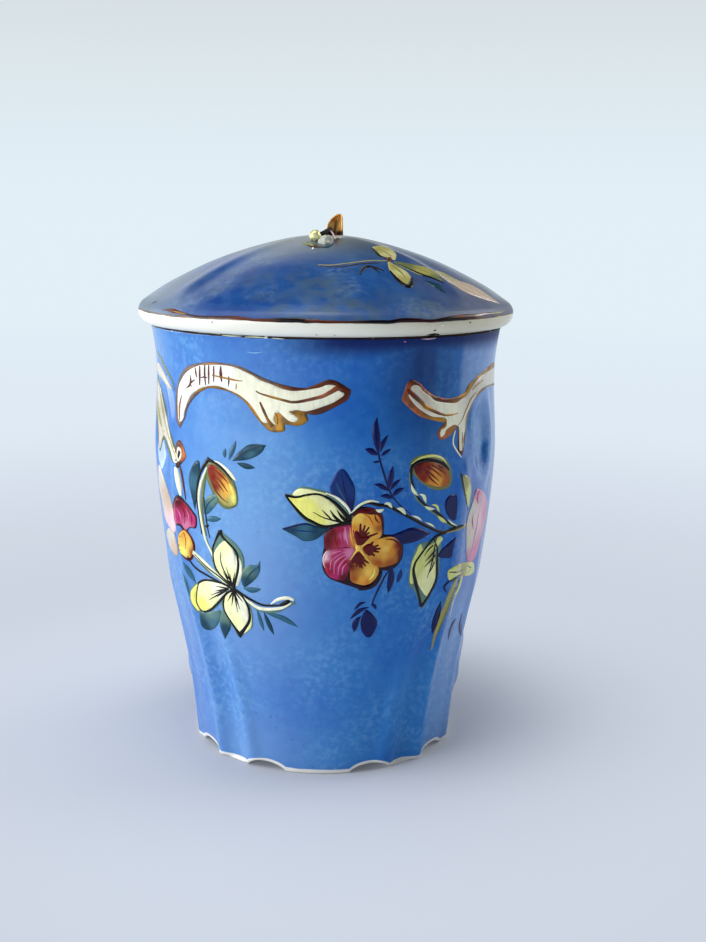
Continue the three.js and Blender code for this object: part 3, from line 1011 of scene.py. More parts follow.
@dataclass
class Layer:
    """Flat painted shapes of one pot, gathered on the unrolled sheet before they are wrapped."""

    points: list[np.ndarray] = field(default_factory=list)
    tints: list[np.ndarray] = field(default_factory=list)
    faces: list[tuple[int, ...]] = field(default_factory=list)
    count: int = 0

    def add(self, points: np.ndarray, tints: np.ndarray, faces: Iterable[Sequence[int]]) -> None:
        """Adds one closed flat shape.

        Args:
            points: Its vertices: along the sheet, up the sheet and lift.
            tints: The colour of each vertex.
            faces: Its faces, numbered from its own first vertex.
        """
        self.points.append(points)
        self.tints.append(tints)
        self.faces += [tuple(self.count + i for i in face) for face in faces]
        self.count += len(points)

    def repeat(self, shift: float) -> None:
        """Adds a copy of everything so far, further along the sheet.

        Args:
            shift: How far along, in millimetres.
        """
        self.points += [part + np.array([shift, 0.0, 0.0]) for part in self.points]
        self.tints += list(self.tints)
        self.faces += [tuple(self.count + i for i in face) for face in self.faces]
        self.count *= 2


@dataclass
class Canvas:
    """A glazed surface to paint on: the wall unrolled by its angle, or the lid seen from above."""

    camera: PhotoCamera
    glazed: Thing
    ware: Ware
    roll_radius: float = 38.0
    outer_reach: float = 60.0
    sink: float = 0.05
    grid: float = 0.55
    step_pixels: float = 1.3
    middle_pixels: float = 327.0
    edge_share: float = 0.88
    softness: float = 0.12
    tree: BVHTree | None = None
    layers: dict[Pot, Layer] = field(default_factory=lambda: {pot: Layer() for pot in Pot})

    def __post_init__(self) -> None:
        """Prepares the surface for lines of sight."""
        mesh = self.glazed.data
        corners = [vertex.co for vertex in mesh.vertices]
        self.tree = BVHTree.FromPolygons(corners, [tuple(face.vertices) for face in mesh.polygons])

    def find(self, spot: Point) -> Point:
        """Finds the place on the sheet that shows at a spot of the picture.

        Args:
            spot: Pixels from the left and top edge. One beside the ware slides in to its outline.

        Returns:
            Millimetres along and up the sheet.
        """
        across, down = spot
        inwards = 0.5 if across < self.middle_pixels else -0.5
        hit = None
        while hit is None:
            hit = self.tree.ray_cast(*self.camera.ray((across, down)))[0]
            across += inwards
        place = hit / MM
        if self.ware is Ware.LID:
            return place.x, place.y
        return math.atan2(place.x, -place.y) * self.roll_radius, place.z

    def lay(self, spots: Trace, closed: bool) -> np.ndarray:
        """A smooth line through spots of the picture, laid on the sheet."""
        return np.array([self.find(tuple(spot)) for spot in through(spots, closed, self.step_pixels)])

    def paint(self, marks: Iterable[Mark]) -> None:
        """Paints marks in order."""
        for mark in marks:
            if isinstance(mark, Patch):
                self.patch(mark)
            else:
                self.stroke(mark)

    def repeat(self, times: int) -> None:
        """Adds a copy of all paint, one share of the way round the ware."""
        for layer in self.layers.values():
            layer.repeat(2 * math.pi / times * self.roll_radius)

    def patch(self, mark: Patch) -> None:
        """Paints an area: a thin closed shape with a fine grid of points between its edges.

        Args:
            mark: The area.
        """
        outline = self.lay(mark.outline, True)
        if area(outline) < 0:
            outline = outline[::-1]
        low, high = outline.min(axis=0), outline.max(axis=0)
        rows = np.arange(low[1], high[1], self.grid)
        columns = np.arange(low[0] - self.grid, high[0], self.grid)
        grid = np.stack(np.meshgrid(columns, rows), axis=-1)
        grid[1::2, :, 0] += self.grid / 2
        grid = grid.reshape(-1, 2)
        grid = grid[inside(outline, grid)]
        if len(grid):
            gaps = np.linalg.norm(grid[:, None] - outline[None], axis=2).min(axis=1)
            grid = grid[gaps > self.grid / 2]
        spots = [Vector(spot) for spot in np.vstack([outline, grid])]
        ring = list(range(len(outline)))
        vertices, _, triangles, *_ = delaunay_2d_cdt(spots, [], [ring], 1, 1e-4)
        flat = np.array([tuple(vertex) for vertex in vertices])
        top = [tuple(t) if area(flat[list(t)]) > 0 else tuple(t)[::-1] for t in triangles]
        edges = {(a, b) for t in top for a, b in zip(t, t[1:] + t[:1])}
        count = len(flat)
        faces = top + [tuple(i + count for i in t[::-1]) for t in top]
        faces += [(b, a, a + count, b + count) for a, b in sorted(edges) if (b, a) not in edges]
        upper = np.column_stack([flat, np.full(count, mark.coat.value)])
        lower = np.column_stack([flat, np.full(count, -self.sink)])
        tints = self.blend(flat, mark.tints)
        self.layers[mark.pot].add(np.vstack([upper, lower]), np.vstack([tints, tints]), faces)

    def blend(self, flat: np.ndarray, tints: Colour | tuple[tuple[Point, Colour], ...]) -> np.ndarray:
        """Colours for points between spots of known colour.

        Args:
            flat: The points on the sheet.
            tints: One colour, or spots of the picture with their colours.

        Returns:
            One colour in each row.
        """
        if isinstance(tints[0], float):
            return np.tile(np.array(tints), (len(flat), 1))
        marks = np.array([self.find(spot) for spot, _ in tints])
        known = np.array([colour for _, colour in tints])
        weight = (np.linalg.norm(flat[:, None] - marks[None], axis=2) + self.softness) ** -3.0
        return (weight @ known) / weight.sum(axis=1, keepdims=True)

    def stroke(self, mark: Stroke) -> None:
        """Paints a line: a closed ribbon, a little higher in its middle than at its edges.

        Args:
            mark: The line.
        """
        course = self.lay(mark.course, False)
        steps = np.linalg.norm(np.diff(course, axis=0), axis=1)
        course = course[np.concatenate([[True], steps > 1e-4])]
        if len(course) < 2:
            return
        ahead = np.gradient(course, axis=0)
        ahead /= np.linalg.norm(ahead, axis=1, keepdims=True) + 1e-9
        side = np.stack([ahead[:, 1], -ahead[:, 0]], axis=1)
        run = np.concatenate([[0], np.cumsum(np.linalg.norm(np.diff(course, axis=0), axis=1))])
        share = run / run[-1]
        half = side * np.interp(share, np.linspace(0, 1, len(mark.widths)), mark.widths)[:, None] / 2
        places = np.linspace(0, 1, len(mark.tints))
        tints = np.stack([np.interp(share, places, part) for part in zip(*mark.tints)], axis=1)
        count = len(course)
        height, edge = mark.coat.value, mark.coat.value * self.edge_share
        rows = ((half, edge), (half * 0, height), (-half, edge), (-half, -self.sink), (half, -self.sink))
        rings = [np.column_stack([course + shift, np.full(count, lift)]) for shift, lift in rows]
        sides = len(rings)
        faces = [tuple(range(sides))[::-1], tuple((count - 1) * sides + j for j in range(sides))]
        for i in range(count - 1):
            for j in range(sides):
                near, far = i * sides, (i + 1) * sides
                following = (j + 1) % sides
                faces.append((near + j, near + following, far + following, far + j))
        points = np.stack(rings, axis=1).reshape(-1, 3)
        self.layers[mark.pot].add(points, np.repeat(tints, sides, axis=0), faces)

    def wrap(self, name: str, pot: Pot, finish: Material) -> Thing:
        """Wraps one pot's flat shapes on the glazed surface with Geometry Nodes.

        Args:
            name: The new object's name.
            pot: Whose shapes they are.
            finish: Their material.

        Returns:
            The wrapped object.
        """
        layer = self.layers[pot]
        piece = mesh_object(name, np.vstack(layer.points), layer.faces)
        tints = np.vstack(layer.tints)
        colours = piece.data.color_attributes.new("tint", "FLOAT_COLOR", "POINT")
        colours.data.foreach_set("color", np.column_stack([tints, np.ones(len(tints))]).ravel())
        sizes = {"roll_radius": self.roll_radius, "outer_reach": self.outer_reach}
        shape = ShapeTree(f"{name}_wrap", sizes)
        along, up, lift = shape.place()
        nothing = along * 0.0
        reach = shape.size("outer_reach")
        if self.ware is Ware.WALL:
            turn = along / shape.size("roll_radius")
            outwards = (turn.math("SINE"), turn.math("COSINE") * -1.0, nothing)
            start = (outwards[0] * reach, outwards[1] * reach, up)
        else:
            outwards = (nothing, nothing, nothing + 1.0)
            start = (along, up, reach * 4.0)
        target = shape.node("GeometryNodeObjectInfo", {"Object": self.glazed}, transform_space="ORIGINAL")
        feeds = {
            "Target Geometry": target.outputs["Geometry"],
            "Source Position": shape.join(*(part * MM for part in start)),
            "Ray Direction": shape.join(*(part * -1.0 for part in outwards)),
            "Ray Length": 1.0,
        }
        hit = shape.node("GeometryNodeRaycast", feeds).outputs["Hit Position"]
        above = shape.join(*(part * lift * MM for part in outwards))
        raised = shape.node("ShaderNodeVectorMath", {0: hit, 1: above}, operation="ADD")
        laid = shape.node("GeometryNodeSetPosition", {"Geometry": shape.source, "Position": raised})
        return shape.apply(piece, laid, finish)


@dataclass(frozen=True)
class Palette:
    """The enamel and gilt colours of the sprays and the scrollwork."""

    white: Colour = paint(250, 251, 246)
    cream: Colour = paint(254, 252, 224)
    # Cream painted darker, as painted shade, for cream marks near the wall's edges and on the lid's right.
    shade: Colour = paint(214, 206, 188)
    straw: Colour = paint(253, 253, 186)
    lemon: Colour = paint(254, 249, 128)
    butter: Colour = paint(249, 206, 92)
    amber: Colour = paint(238, 170, 64)
    orange: Colour = paint(228, 142, 42)
    rust: Colour = paint(170, 84, 24)
    red_brown: Colour = paint(132, 20, 12)
    maroon: Colour = paint(92, 4, 14)
    crimson: Colour = paint(158, 14, 52)
    magenta: Colour = paint(186, 40, 106)
    pink: Colour = paint(218, 126, 166)
    pale_pink: Colour = paint(242, 204, 212)
    plum: Colour = paint(34, 6, 22)
    black: Colour = paint(16, 13, 15)
    navy: Colour = paint(7, 20, 84)
    dusk: Colour = paint(14, 50, 118)
    teal: Colour = paint(52, 102, 124)
    deep_teal: Colour = paint(22, 64, 84)
    sage: Colour = paint(100, 134, 122)
    olive: Colour = paint(112, 122, 76)
    leaf: Colour = paint(226, 230, 136)
    moss: Colour = paint(172, 166, 92)
    husk: Colour = paint(206, 200, 138)
    sand: Colour = paint(206, 180, 154)
    stem: Colour = paint(238, 244, 206)
    bark: Colour = paint(98, 40, 16)
    gilt: Colour = paint(172, 124, 42)
    worn_gilt: Colour = paint(112, 88, 74)
    red_gilt: Colour = paint(176, 98, 58)
    umber: Colour = paint(66, 42, 30)
    oxblood: Colour = paint(44, 10, 14)
    mist: Colour = paint(132, 184, 226)


HUE = Palette()
LEAF_SHARES = (0.05, 0.72, 1.0, 0.78, 0.06)
HAIR_TIP = 0.12


def motif(text: str) -> tuple[Mark, ...]:
    """Reads painted marks from short entries, "kind coat: spots / widths / colours;".

    A fill has an outline, then one colour or spots that each have theirs. A line has a course,
    its widths in millimetres and its colours. A leaf is a line laid down in one press of the
    brush, a hair a line with fine ends. Rays are lines from one heart to many tips. The word gilt
    makes a mark gold.

    Args:
        text: The entries.

    Returns:
        The marks.
    """
    marks: list[Mark] = []
    for entry in text.split(";")[:-1]:
        head, rest = entry.split(":")
        kind, coat, *gilt = head.split()
        where = (Coat[coat.upper()], Pot.GILT if gilt else Pot.ENAMEL)
        first, *others = rest.split("/")
        words = others[-1].split()
        if kind == "fill":
            spots = trace(" ".join(words[:-1:2]))
            tones = [getattr(HUE, word) for word in words[-1::-2]][::-1]
            marks.append(Patch(trace(first), tuple(zip(spots, tones)) or tones[0], *where))
            continue
        tones = tuple(getattr(HUE, word) for word in words)
        widths = tuple(float(word) for word in others[-2].split())
        if kind == "leaf":
            widths = tuple(widths[0] * share for share in LEAF_SHARES)
        if kind == "hair":
            widths = (HAIR_TIP, *widths, HAIR_TIP)
        ends = [trace(first)]
        if kind == "rays":
            ends = [(*trace(first), tip) for tip in trace(others[0])]
        marks += [Stroke(course, widths, tones, *where) for course in ends]
    return tuple(marks)


LEFT_SCROLL = motif(
    """
fill base gilt: 180,428 180,428 177,420 176,397 179,380 182,373 187,367 195,364 212,362 235,365 246,369
264,378 284,385 303,388 312,386 327,380 333,380 340,383 351,390 351,390 350,395 347,400 339,405 323,413
314,415 307,414 308,420 304,424 298,426 291,425 285,425 285,430 281,432 274,432 267,429 256,417 245,402
236,395 227,391 211,388 204,390 197,395 191,402 187,410 185,418 / 196,364 worn_gilt 232,365 worn_gilt
264,377 worn_gilt 300,387.5 bark 346,391 bark 320,413 bark 190,400 worn_gilt 211,388 gilt 240,399 gilt
272,430 gilt 300,425 gilt;
fill petal: 178,400 179,387 182,379 187,372 195,367 205,365 230,366 250,374 260,380 271,384 283,389 296,391
318,388 327,385 336,386 343,392 344,395 339,399 330,404 308,411 297,410 289,412 289,412 297,417 298,420
294,422 288,420 279,412 279,412 275,415 274,420 276,425 273,423 268,418 268,423 268,423 263,422 258,415
252,406 245,399 236,393 218,386 204,387 196,391 190,397 185,410 184,417 182,421 179,420 / 184,390 white
215,375 white 251,388 cream 266,400 cream 290,395 cream 335,392 cream;
line line gilt: 256,391 262,394 283,400 296,402 320,397 329,393 338,388 344,390 / 0.25 0.5 0.55 0.65 0.8 1.3
/ bark gilt bark red_gilt bark;
line line gilt: 260,402 268,420 272,427 / 0.35 0.6 0.5 0.7 / bark gilt;
line line gilt: 275,412.5 276.5,417 277,424 / 0.3 0.45 0.6 / gilt;
line line gilt: 289.5,411.5 294.5,413.5 301.5,416 / 0.3 0.5 0.7 / gilt;
line line gilt: 182,395 180,406 180,420 / 0.3 0.75 0.4 / bark gilt;
line line: 195.5,367.5 196,371.5 197,377.5 / 0.3 0.55 0.3 / bark;
line line: 200,366 200,375 200,385 / 0.4 0.6 0.35 / bark;
line line: 205,365 205,375 206,385 / 0.4 0.55 0.3 / bark;
line line: 209,365 209,375 209,384 / 0.35 0.5 0.3 / bark;
line line: 214,366 214,374 214,382 / 0.35 0.45 0.2 / bark;
line line: 221,366 221,374 222,382 / 0.3 0.8 0.25 / bark;
line line: 229,376.5 229,381.5 228.5,386.5 / 0.3 0.4 0.15 / bark;
line line: 236.5,383.5 236.5,386 236,389.5 / 0.15 0.3 0.15 / gilt;
line line: 212,375 235,380 243,381 / 0.2 0.4 0.4 0.15 / gilt;
line line: 190.5,375 191,380 190,385 186.5,388 / 0.2 0.6 0.55 0.15 / bark;
line line: 195.5,379.5 191,383 192,387 / 0.15 0.5 0.15 / bark;
line line: 201,377.5 204,377 207.5,377.5 / 0.2 0.35 0.2 / bark;
"""
)

RIGHT_SCROLL = motif(
    """
fill base gilt: 408,382 413,380 421,384 424,388 430,393 436,396 445,398 452,398 464,393 471,382 494,362
494,362 494,385 494,385 487,387 477,396 473,402 467,418 466,427 463,451 461,456 461,456 458,451 458,436
458,430 456,427 455,430 448,437 441,440 437,435 439,429 443,425 445,422 445,422 440,422 424,418 416,414
405,404 402,400 403,395 405,389 / 405,386 red_gilt 414,381 bark 444,398 bark 468,387 gilt 490,366 gilt
410,408 red_gilt 440,421 gilt 442,436 red_gilt 466,420 gilt 460,450 bark;
fill petal: 412,386 416,385 420,387 424,392 430,396 436,401 453,403 460,400 466,395 475,382 482,375 494,367
494,367 494,383 494,383 486,386 480,390 475,397 466,416 465,428 463,438 463,446 461,451 459,448 459,430
458,426 453,425 446,430 444,435 441,437 440,435 441,430 446,426 445,418 431,416 417,407 409,397 409,394 /
414,392 shade 450,410 cream 470,392 shade 488,378 shade;
line line gilt: 408,389 410,392 421,402 426,407 441,414 449,415 458,413 / 0.9 1.1 1 0.85 0.6 0.45 0.2 / bark
bark gilt bark gilt red_gilt;
line line: 455,430.5 453,441 454.5,447 461,457 / 0.2 0.3 0.3 0.25 / cream;
line line: 458,425 462,419 470,400 476,392 / 0.15 0.3 0.35 0.2 / gilt;
line line: 483,380 478,383 472,390 / 0.25 0.6 0.2 / gilt;
line line: 462,449 462,440 462,432 / 0.15 0.4 0.15 / gilt;
"""
)

LEFT_PANEL = motif(
    """
line halo: 158,352 165,367 172,380 175,391 / 0.7 0.9 0.6 0.2 / olive;
fill petal: 158,362 163,370 169,382 173,390 173,390 168,387 162,378 158,372 / shade;
fill halo: 158,375 158,375 166,408 168,422 172,437 181,462 181,462 173,462 168,449 164,439 160,451 158,431
157,409 / olive;
fill petal: 158,380 158,380 162,393 171,438 176,452 179,462 179,462 174,462 170,448 164,436 160,448 159,428
158,409 / 159,390 shade 164,425 shade 175,456 cream;
line shade: 159,384 166,424 172,446 177,459 / 0.2 0.5 0.6 0.5 0.2 / moss;
line shade: 158,397 160,417 164,433 / 0.2 0.5 0.2 / moss;
fill petal gilt: 179,440 183,445 186,457 181,464 177,468 175,455 176,445 / 178,443 bark 184,456 red_gilt
178,466 black;
fill shade: 178,447 181,448.5 182,454 180.5,460 177.5,461 177,454 / cream;
fill line: 179,450 181,452.5 178.5,459 178,454 / black;
line petal: 176,467 177,474 181,496 / 0.9 1.2 1.2 0.4 / cream;
line line: 179,463 182,474 186,500 / 0.3 0.45 0.45 0.2 / bark;
fill base: 159,465 162,472 172,504 176,528 173,532 166,520 162,500 159,482 / 160,472 shade 167,498
sand 173,524 pale_pink;
fill base: 167,530 172,529 176,540 178,552 176,556 171,549 168,540 / 170,534 shade 175,550 sand;
"""
)

EDGE_PANSY = motif(
    """
fill halo: 178,495 187,503 193,511 197,518 196,528 190,528 186,532 180,526 174,523 173,503 / plum;
fill petal: 179,497 186,504 192,512 196,519 195,527 190,527 186,530 181,524 175,522 174,504 / 179,500 maroon
187,508 crimson 178,517 magenta 192,519 magenta 187,526 pink;
hair shade: 177,508 180,514 182,522 / 0.35 / pink;
hair shade: 182,506 185,514 185,524 / 0.35 / maroon;
hair shade: 186,508 189,516 189,524 / 0.35 / pink;
hair shade: 190,512 192,518 192,525 / 0.35 / maroon;
fill halo: 179,534 184,528 190,534 195,544 194,556 189,561 181,554 178,545 / maroon;
fill petal: 179,535 184,530 189,535 193,545 192,555 188,558 181,553 179,545 / 182,532 amber 186,545 butter
184,551 lemon 192,553 rust;
line shade: 184,532 186,540 186,549 / 0.15 0.3 0.1 / rust;
leaf base: 183,562 190,573 196,583 / 1.5 / teal;
leaf base: 182,571 186,583 190,596 / 1.1 / teal;
"""
)

BUD_SPRAY = motif(
    """
fill base: 199,461 195,462 191,469 189,478 190,488 195,510 195,510 198,492 200,471 / 196,466 deep_teal
194,482 teal 195,500 deep_teal;
fill base: 232,461 232,461 239,452 248,445 256,444 266,445 266,445 262,452 255,457 246,460 / 240,456
deep_teal 254,448 deep_teal 252,456 teal;
line shade: 234,460 246,452 260,446 / 0.15 0.3 0.12 / deep_teal;
leaf base: 229,460 232,451 236,441 / 1.15 / teal;
leaf base: 225,458 224.5,453 225.5,448.5 / 0.95 / teal;
leaf base: 237,463 246,466 255,468 / 1.25 / deep_teal;
fill base: 218,494 210,495 206,499 204,505 204,514 204,514 209,513 218,502 / 212,498 sage 207,509 teal;
line shade: 205,513 208,504 215,497 / 0.15 0.35 0.12 / deep_teal;
leaf base: 206,520 212,519 221,519 / 1.4 / teal;
fill line: 207,524 209,525.5 207.5,527.5 205.5,526.5 / black;
line base: 206,471 204,482 202,508 203,521 206,536 / 0.9 0.9 0.8 0.8 0.7 / olive;
line petal: 207,467 201,483 199,497 200,512 205,537 210,549 220,568 230,583 / 0.35 0.7 0.75 0.7 0.6 0.8 0.9
/ stem;
line base: 206,538 211,550 230,579 / 0.5 0.6 0.6 0.5 / olive;
fill halo: 207,463 215,462 227,469 232,476 236,487 238,497 237,505 233,508 226,509 220,505 215,498 207,480
206,471 / olive;
fill petal: 209,465 214,465 219,469 226,476 231,483 235,490 236.5,498 236,504 232,506 227,506 222,503 218,497
210,479 208,471 / 211,468 red_brown 214,477 red_brown 221,476 rust 216,487 red_brown 225,482 amber 229,490
butter 225,494 amber 235,499 lemon 228,502 moss 220,498 moss;
line shade: 210,476 215,489 221,497 228,503 / 0.15 0.4 0.35 0.12 / red_brown;
line shade: 213,468 221,475 229,484 / 0.2 0.4 0.12 / red_brown;
line shade: 217,472 222,476 227,481 / 0.2 0.4 0.12 / red_brown;
line shade: 217,477 222,483 228,492 / 0.2 0.45 0.12 / red_brown;
line shade: 215,480 220,486 224,492 / 0.2 0.4 0.12 / red_brown;
line shade: 229,483 232,489 235,497 / 0.15 0.4 0.2 / lemon;
fill petal: 212,460 212,460 219,462 226,467 232,473 237,481 237,481 233,479 228,473 222,467 / cream;
line line: 209,458 200,474 197,496 202,534 / 0.8 0.7 0.55 0.4 0.35 0.3 0.25 / black;
line line: 208,459 217,464 225,471 232,480 / 0.7 0.6 0.6 0.5 0.15 / black;
line line: 204,497 207,524 210,538 / 0.15 0.3 0.3 0.12 / black;
"""
)

YELLOW_FLOWER = motif(
    """
fill base: 244,587 241,577 243,570 249,565 256,565 260,561 260,561 260,570 257,577 251,583 / 246,570 sage
257,566 teal 247,581 deep_teal;
line shade: 244,583 250,574 259,566 / 0.2 0.4 0.15 / deep_teal;
leaf base: 243,588 252,590 261,589 / 1.35 / teal;
fill base: 201,612 200,617 202,626 208,630 215,628 220,619 220,610 210,612 / 205,625 deep_teal 213,622 teal
210,614 sage;
fill base: 223,610 231,625 225,639 225,639 220,624 / 224,616 sage 226,629 deep_teal;
leaf base: 257,609 260,619 264,631 / 1 / teal;
leaf base: 264,612 268,622 274,635 / 1.15 / deep_teal;
leaf base: 266,613 282,618 298,627 / 1.35 / teal;
line halo: 190,550 203,563 218,576 230,585 / 1 1.3 1.3 0.8 / olive;
line petal: 193,552 218,576 230,586 / 1 1.35 1.25 0.6 / stem;
line line: 195,554 206,566 220,577 230,586 / 0.2 0.35 0.35 0.3 / black;
line line: 188,556 191,562 200,571 229,587 / 0.3 0.5 0.5 0.4 0.35 / black;
hair shade: 198,561 208,571 222,581 / 0.3 / sage;
fill halo: 220,530 220,530 214,542 211,551 212,560 216,571 223,579 230,588 237,587 240,578 244,569 244,558
240,549 233,541 / sage;
fill petal: 236,555 240,559 242,565 242,575 238,586 238,586 235,585 236,572 / cream;
fill petal: 224,541 229,544 234,552 237,570 235,581 232,586 232,586 228,581 220,573 214,562 214,555 217,548
/ 222,547 straw 233,560 cream 222,568 straw 230,577 straw;
line line: 220,531 215,542 213,551 217,570 232,586 / 0.75 0.4 0.4 0.45 0.4 0.55 / black;
line line: 220,530 223,537 235,550 238,559 238,570 234,587 / 1 0.5 0.5 0.6 0.6 0.6 0.75 / black;
line line: 221,552 221,561 224,570 229,579 / 0.12 0.28 0.35 0.5 / black;
rays line: 232.5,587.5 / 226.5,567 223,571 230,573.5 235,572.5 / 0.5 0.4 0.08 / black;
fill halo: 230,586 222,583 215,580 207,579 199,581 192,587 190,592 190,598 193,606 198,612 210,612 224,600
230,593 / sage;
fill petal: 198,584 192,590 191,597 193,604 199,611 200,607 197,600 197,591 / lemon;
fill petal: 231,588 222,584 207,581 201,582 198,587 197,602 200,607 203,611 210,610 222,598 226,592 /
203,590 straw 204,603 lemon 218,590 cream 214,600 straw;
line line: 231,588 222,583 207,580 200,582 198,587 197,602 203,611 210,610 216,605 228,592 / 0.6 0.45 0.45
0.6 0.3 0.28 0.35 0.6 0.5 0.55 0.6 / black;
rays line: 229,588.5 / 216,586 215,591 211,595 209,600 217,597 / 0.4 0.35 0.08 / black;
fill halo: 234,589 225,593 222,600 222,608 226,616 236,632 240,637 246,633 252,628 253,620 252,612 248,601
241,592 / sage;
fill petal: 248,607 251,611 252,619 251,628 244,634 244,634 249,623 250,615 / straw;
fill petal: 234,590 226,594 224,607 227,615 232,622 240,635 240,635 248,624 248,609 244,600 239,594 /
229,600 straw 241,602 cream 238,620 straw 245,615 cream;
line line: 234,589 226,594 224,600 224,607 227,615 241,636 / 0.65 0.5 0.5 0.45 0.5 0.6 1.25 / black;
line line: 234,589 240,594 245,600 249,609 250,617 248,624 239,636 / 0.6 0.4 0.55 0.65 0.7 0.75 1.2 / black;
rays line: 234,590 / 238,612 240,609 232,606 228,601 243,602 / 0.45 0.4 0.08 / black;
line line: 234,589 250,599 263,605 278,605.5 / 0.8 0.6 0.5 0.45 0.4 / black;
fill line: 277.5,605.5 282,602.5 287.5,599.8 290.5,601.5 288,604 282.5,606 / black;
line petal: 237,592 255,606 264,609 274,609 283,607.5 291,603 / 0.25 0.45 0.8 0.8 0.7 0.6 0.5 / cream;
line petal: 271,604 278,599.5 287,598 294,600 / 0.25 0.7 0.8 0.6 / cream;
line halo: 236,593 255,607 264,611 276,611 287,606 295,602 / 0.5 0.8 0.8 0.9 0.9 0.7 / sage;
fill line: 230.5,586.5 233.5,585.5 235.5,588.5 234,591 231,590 / black;
"""
)

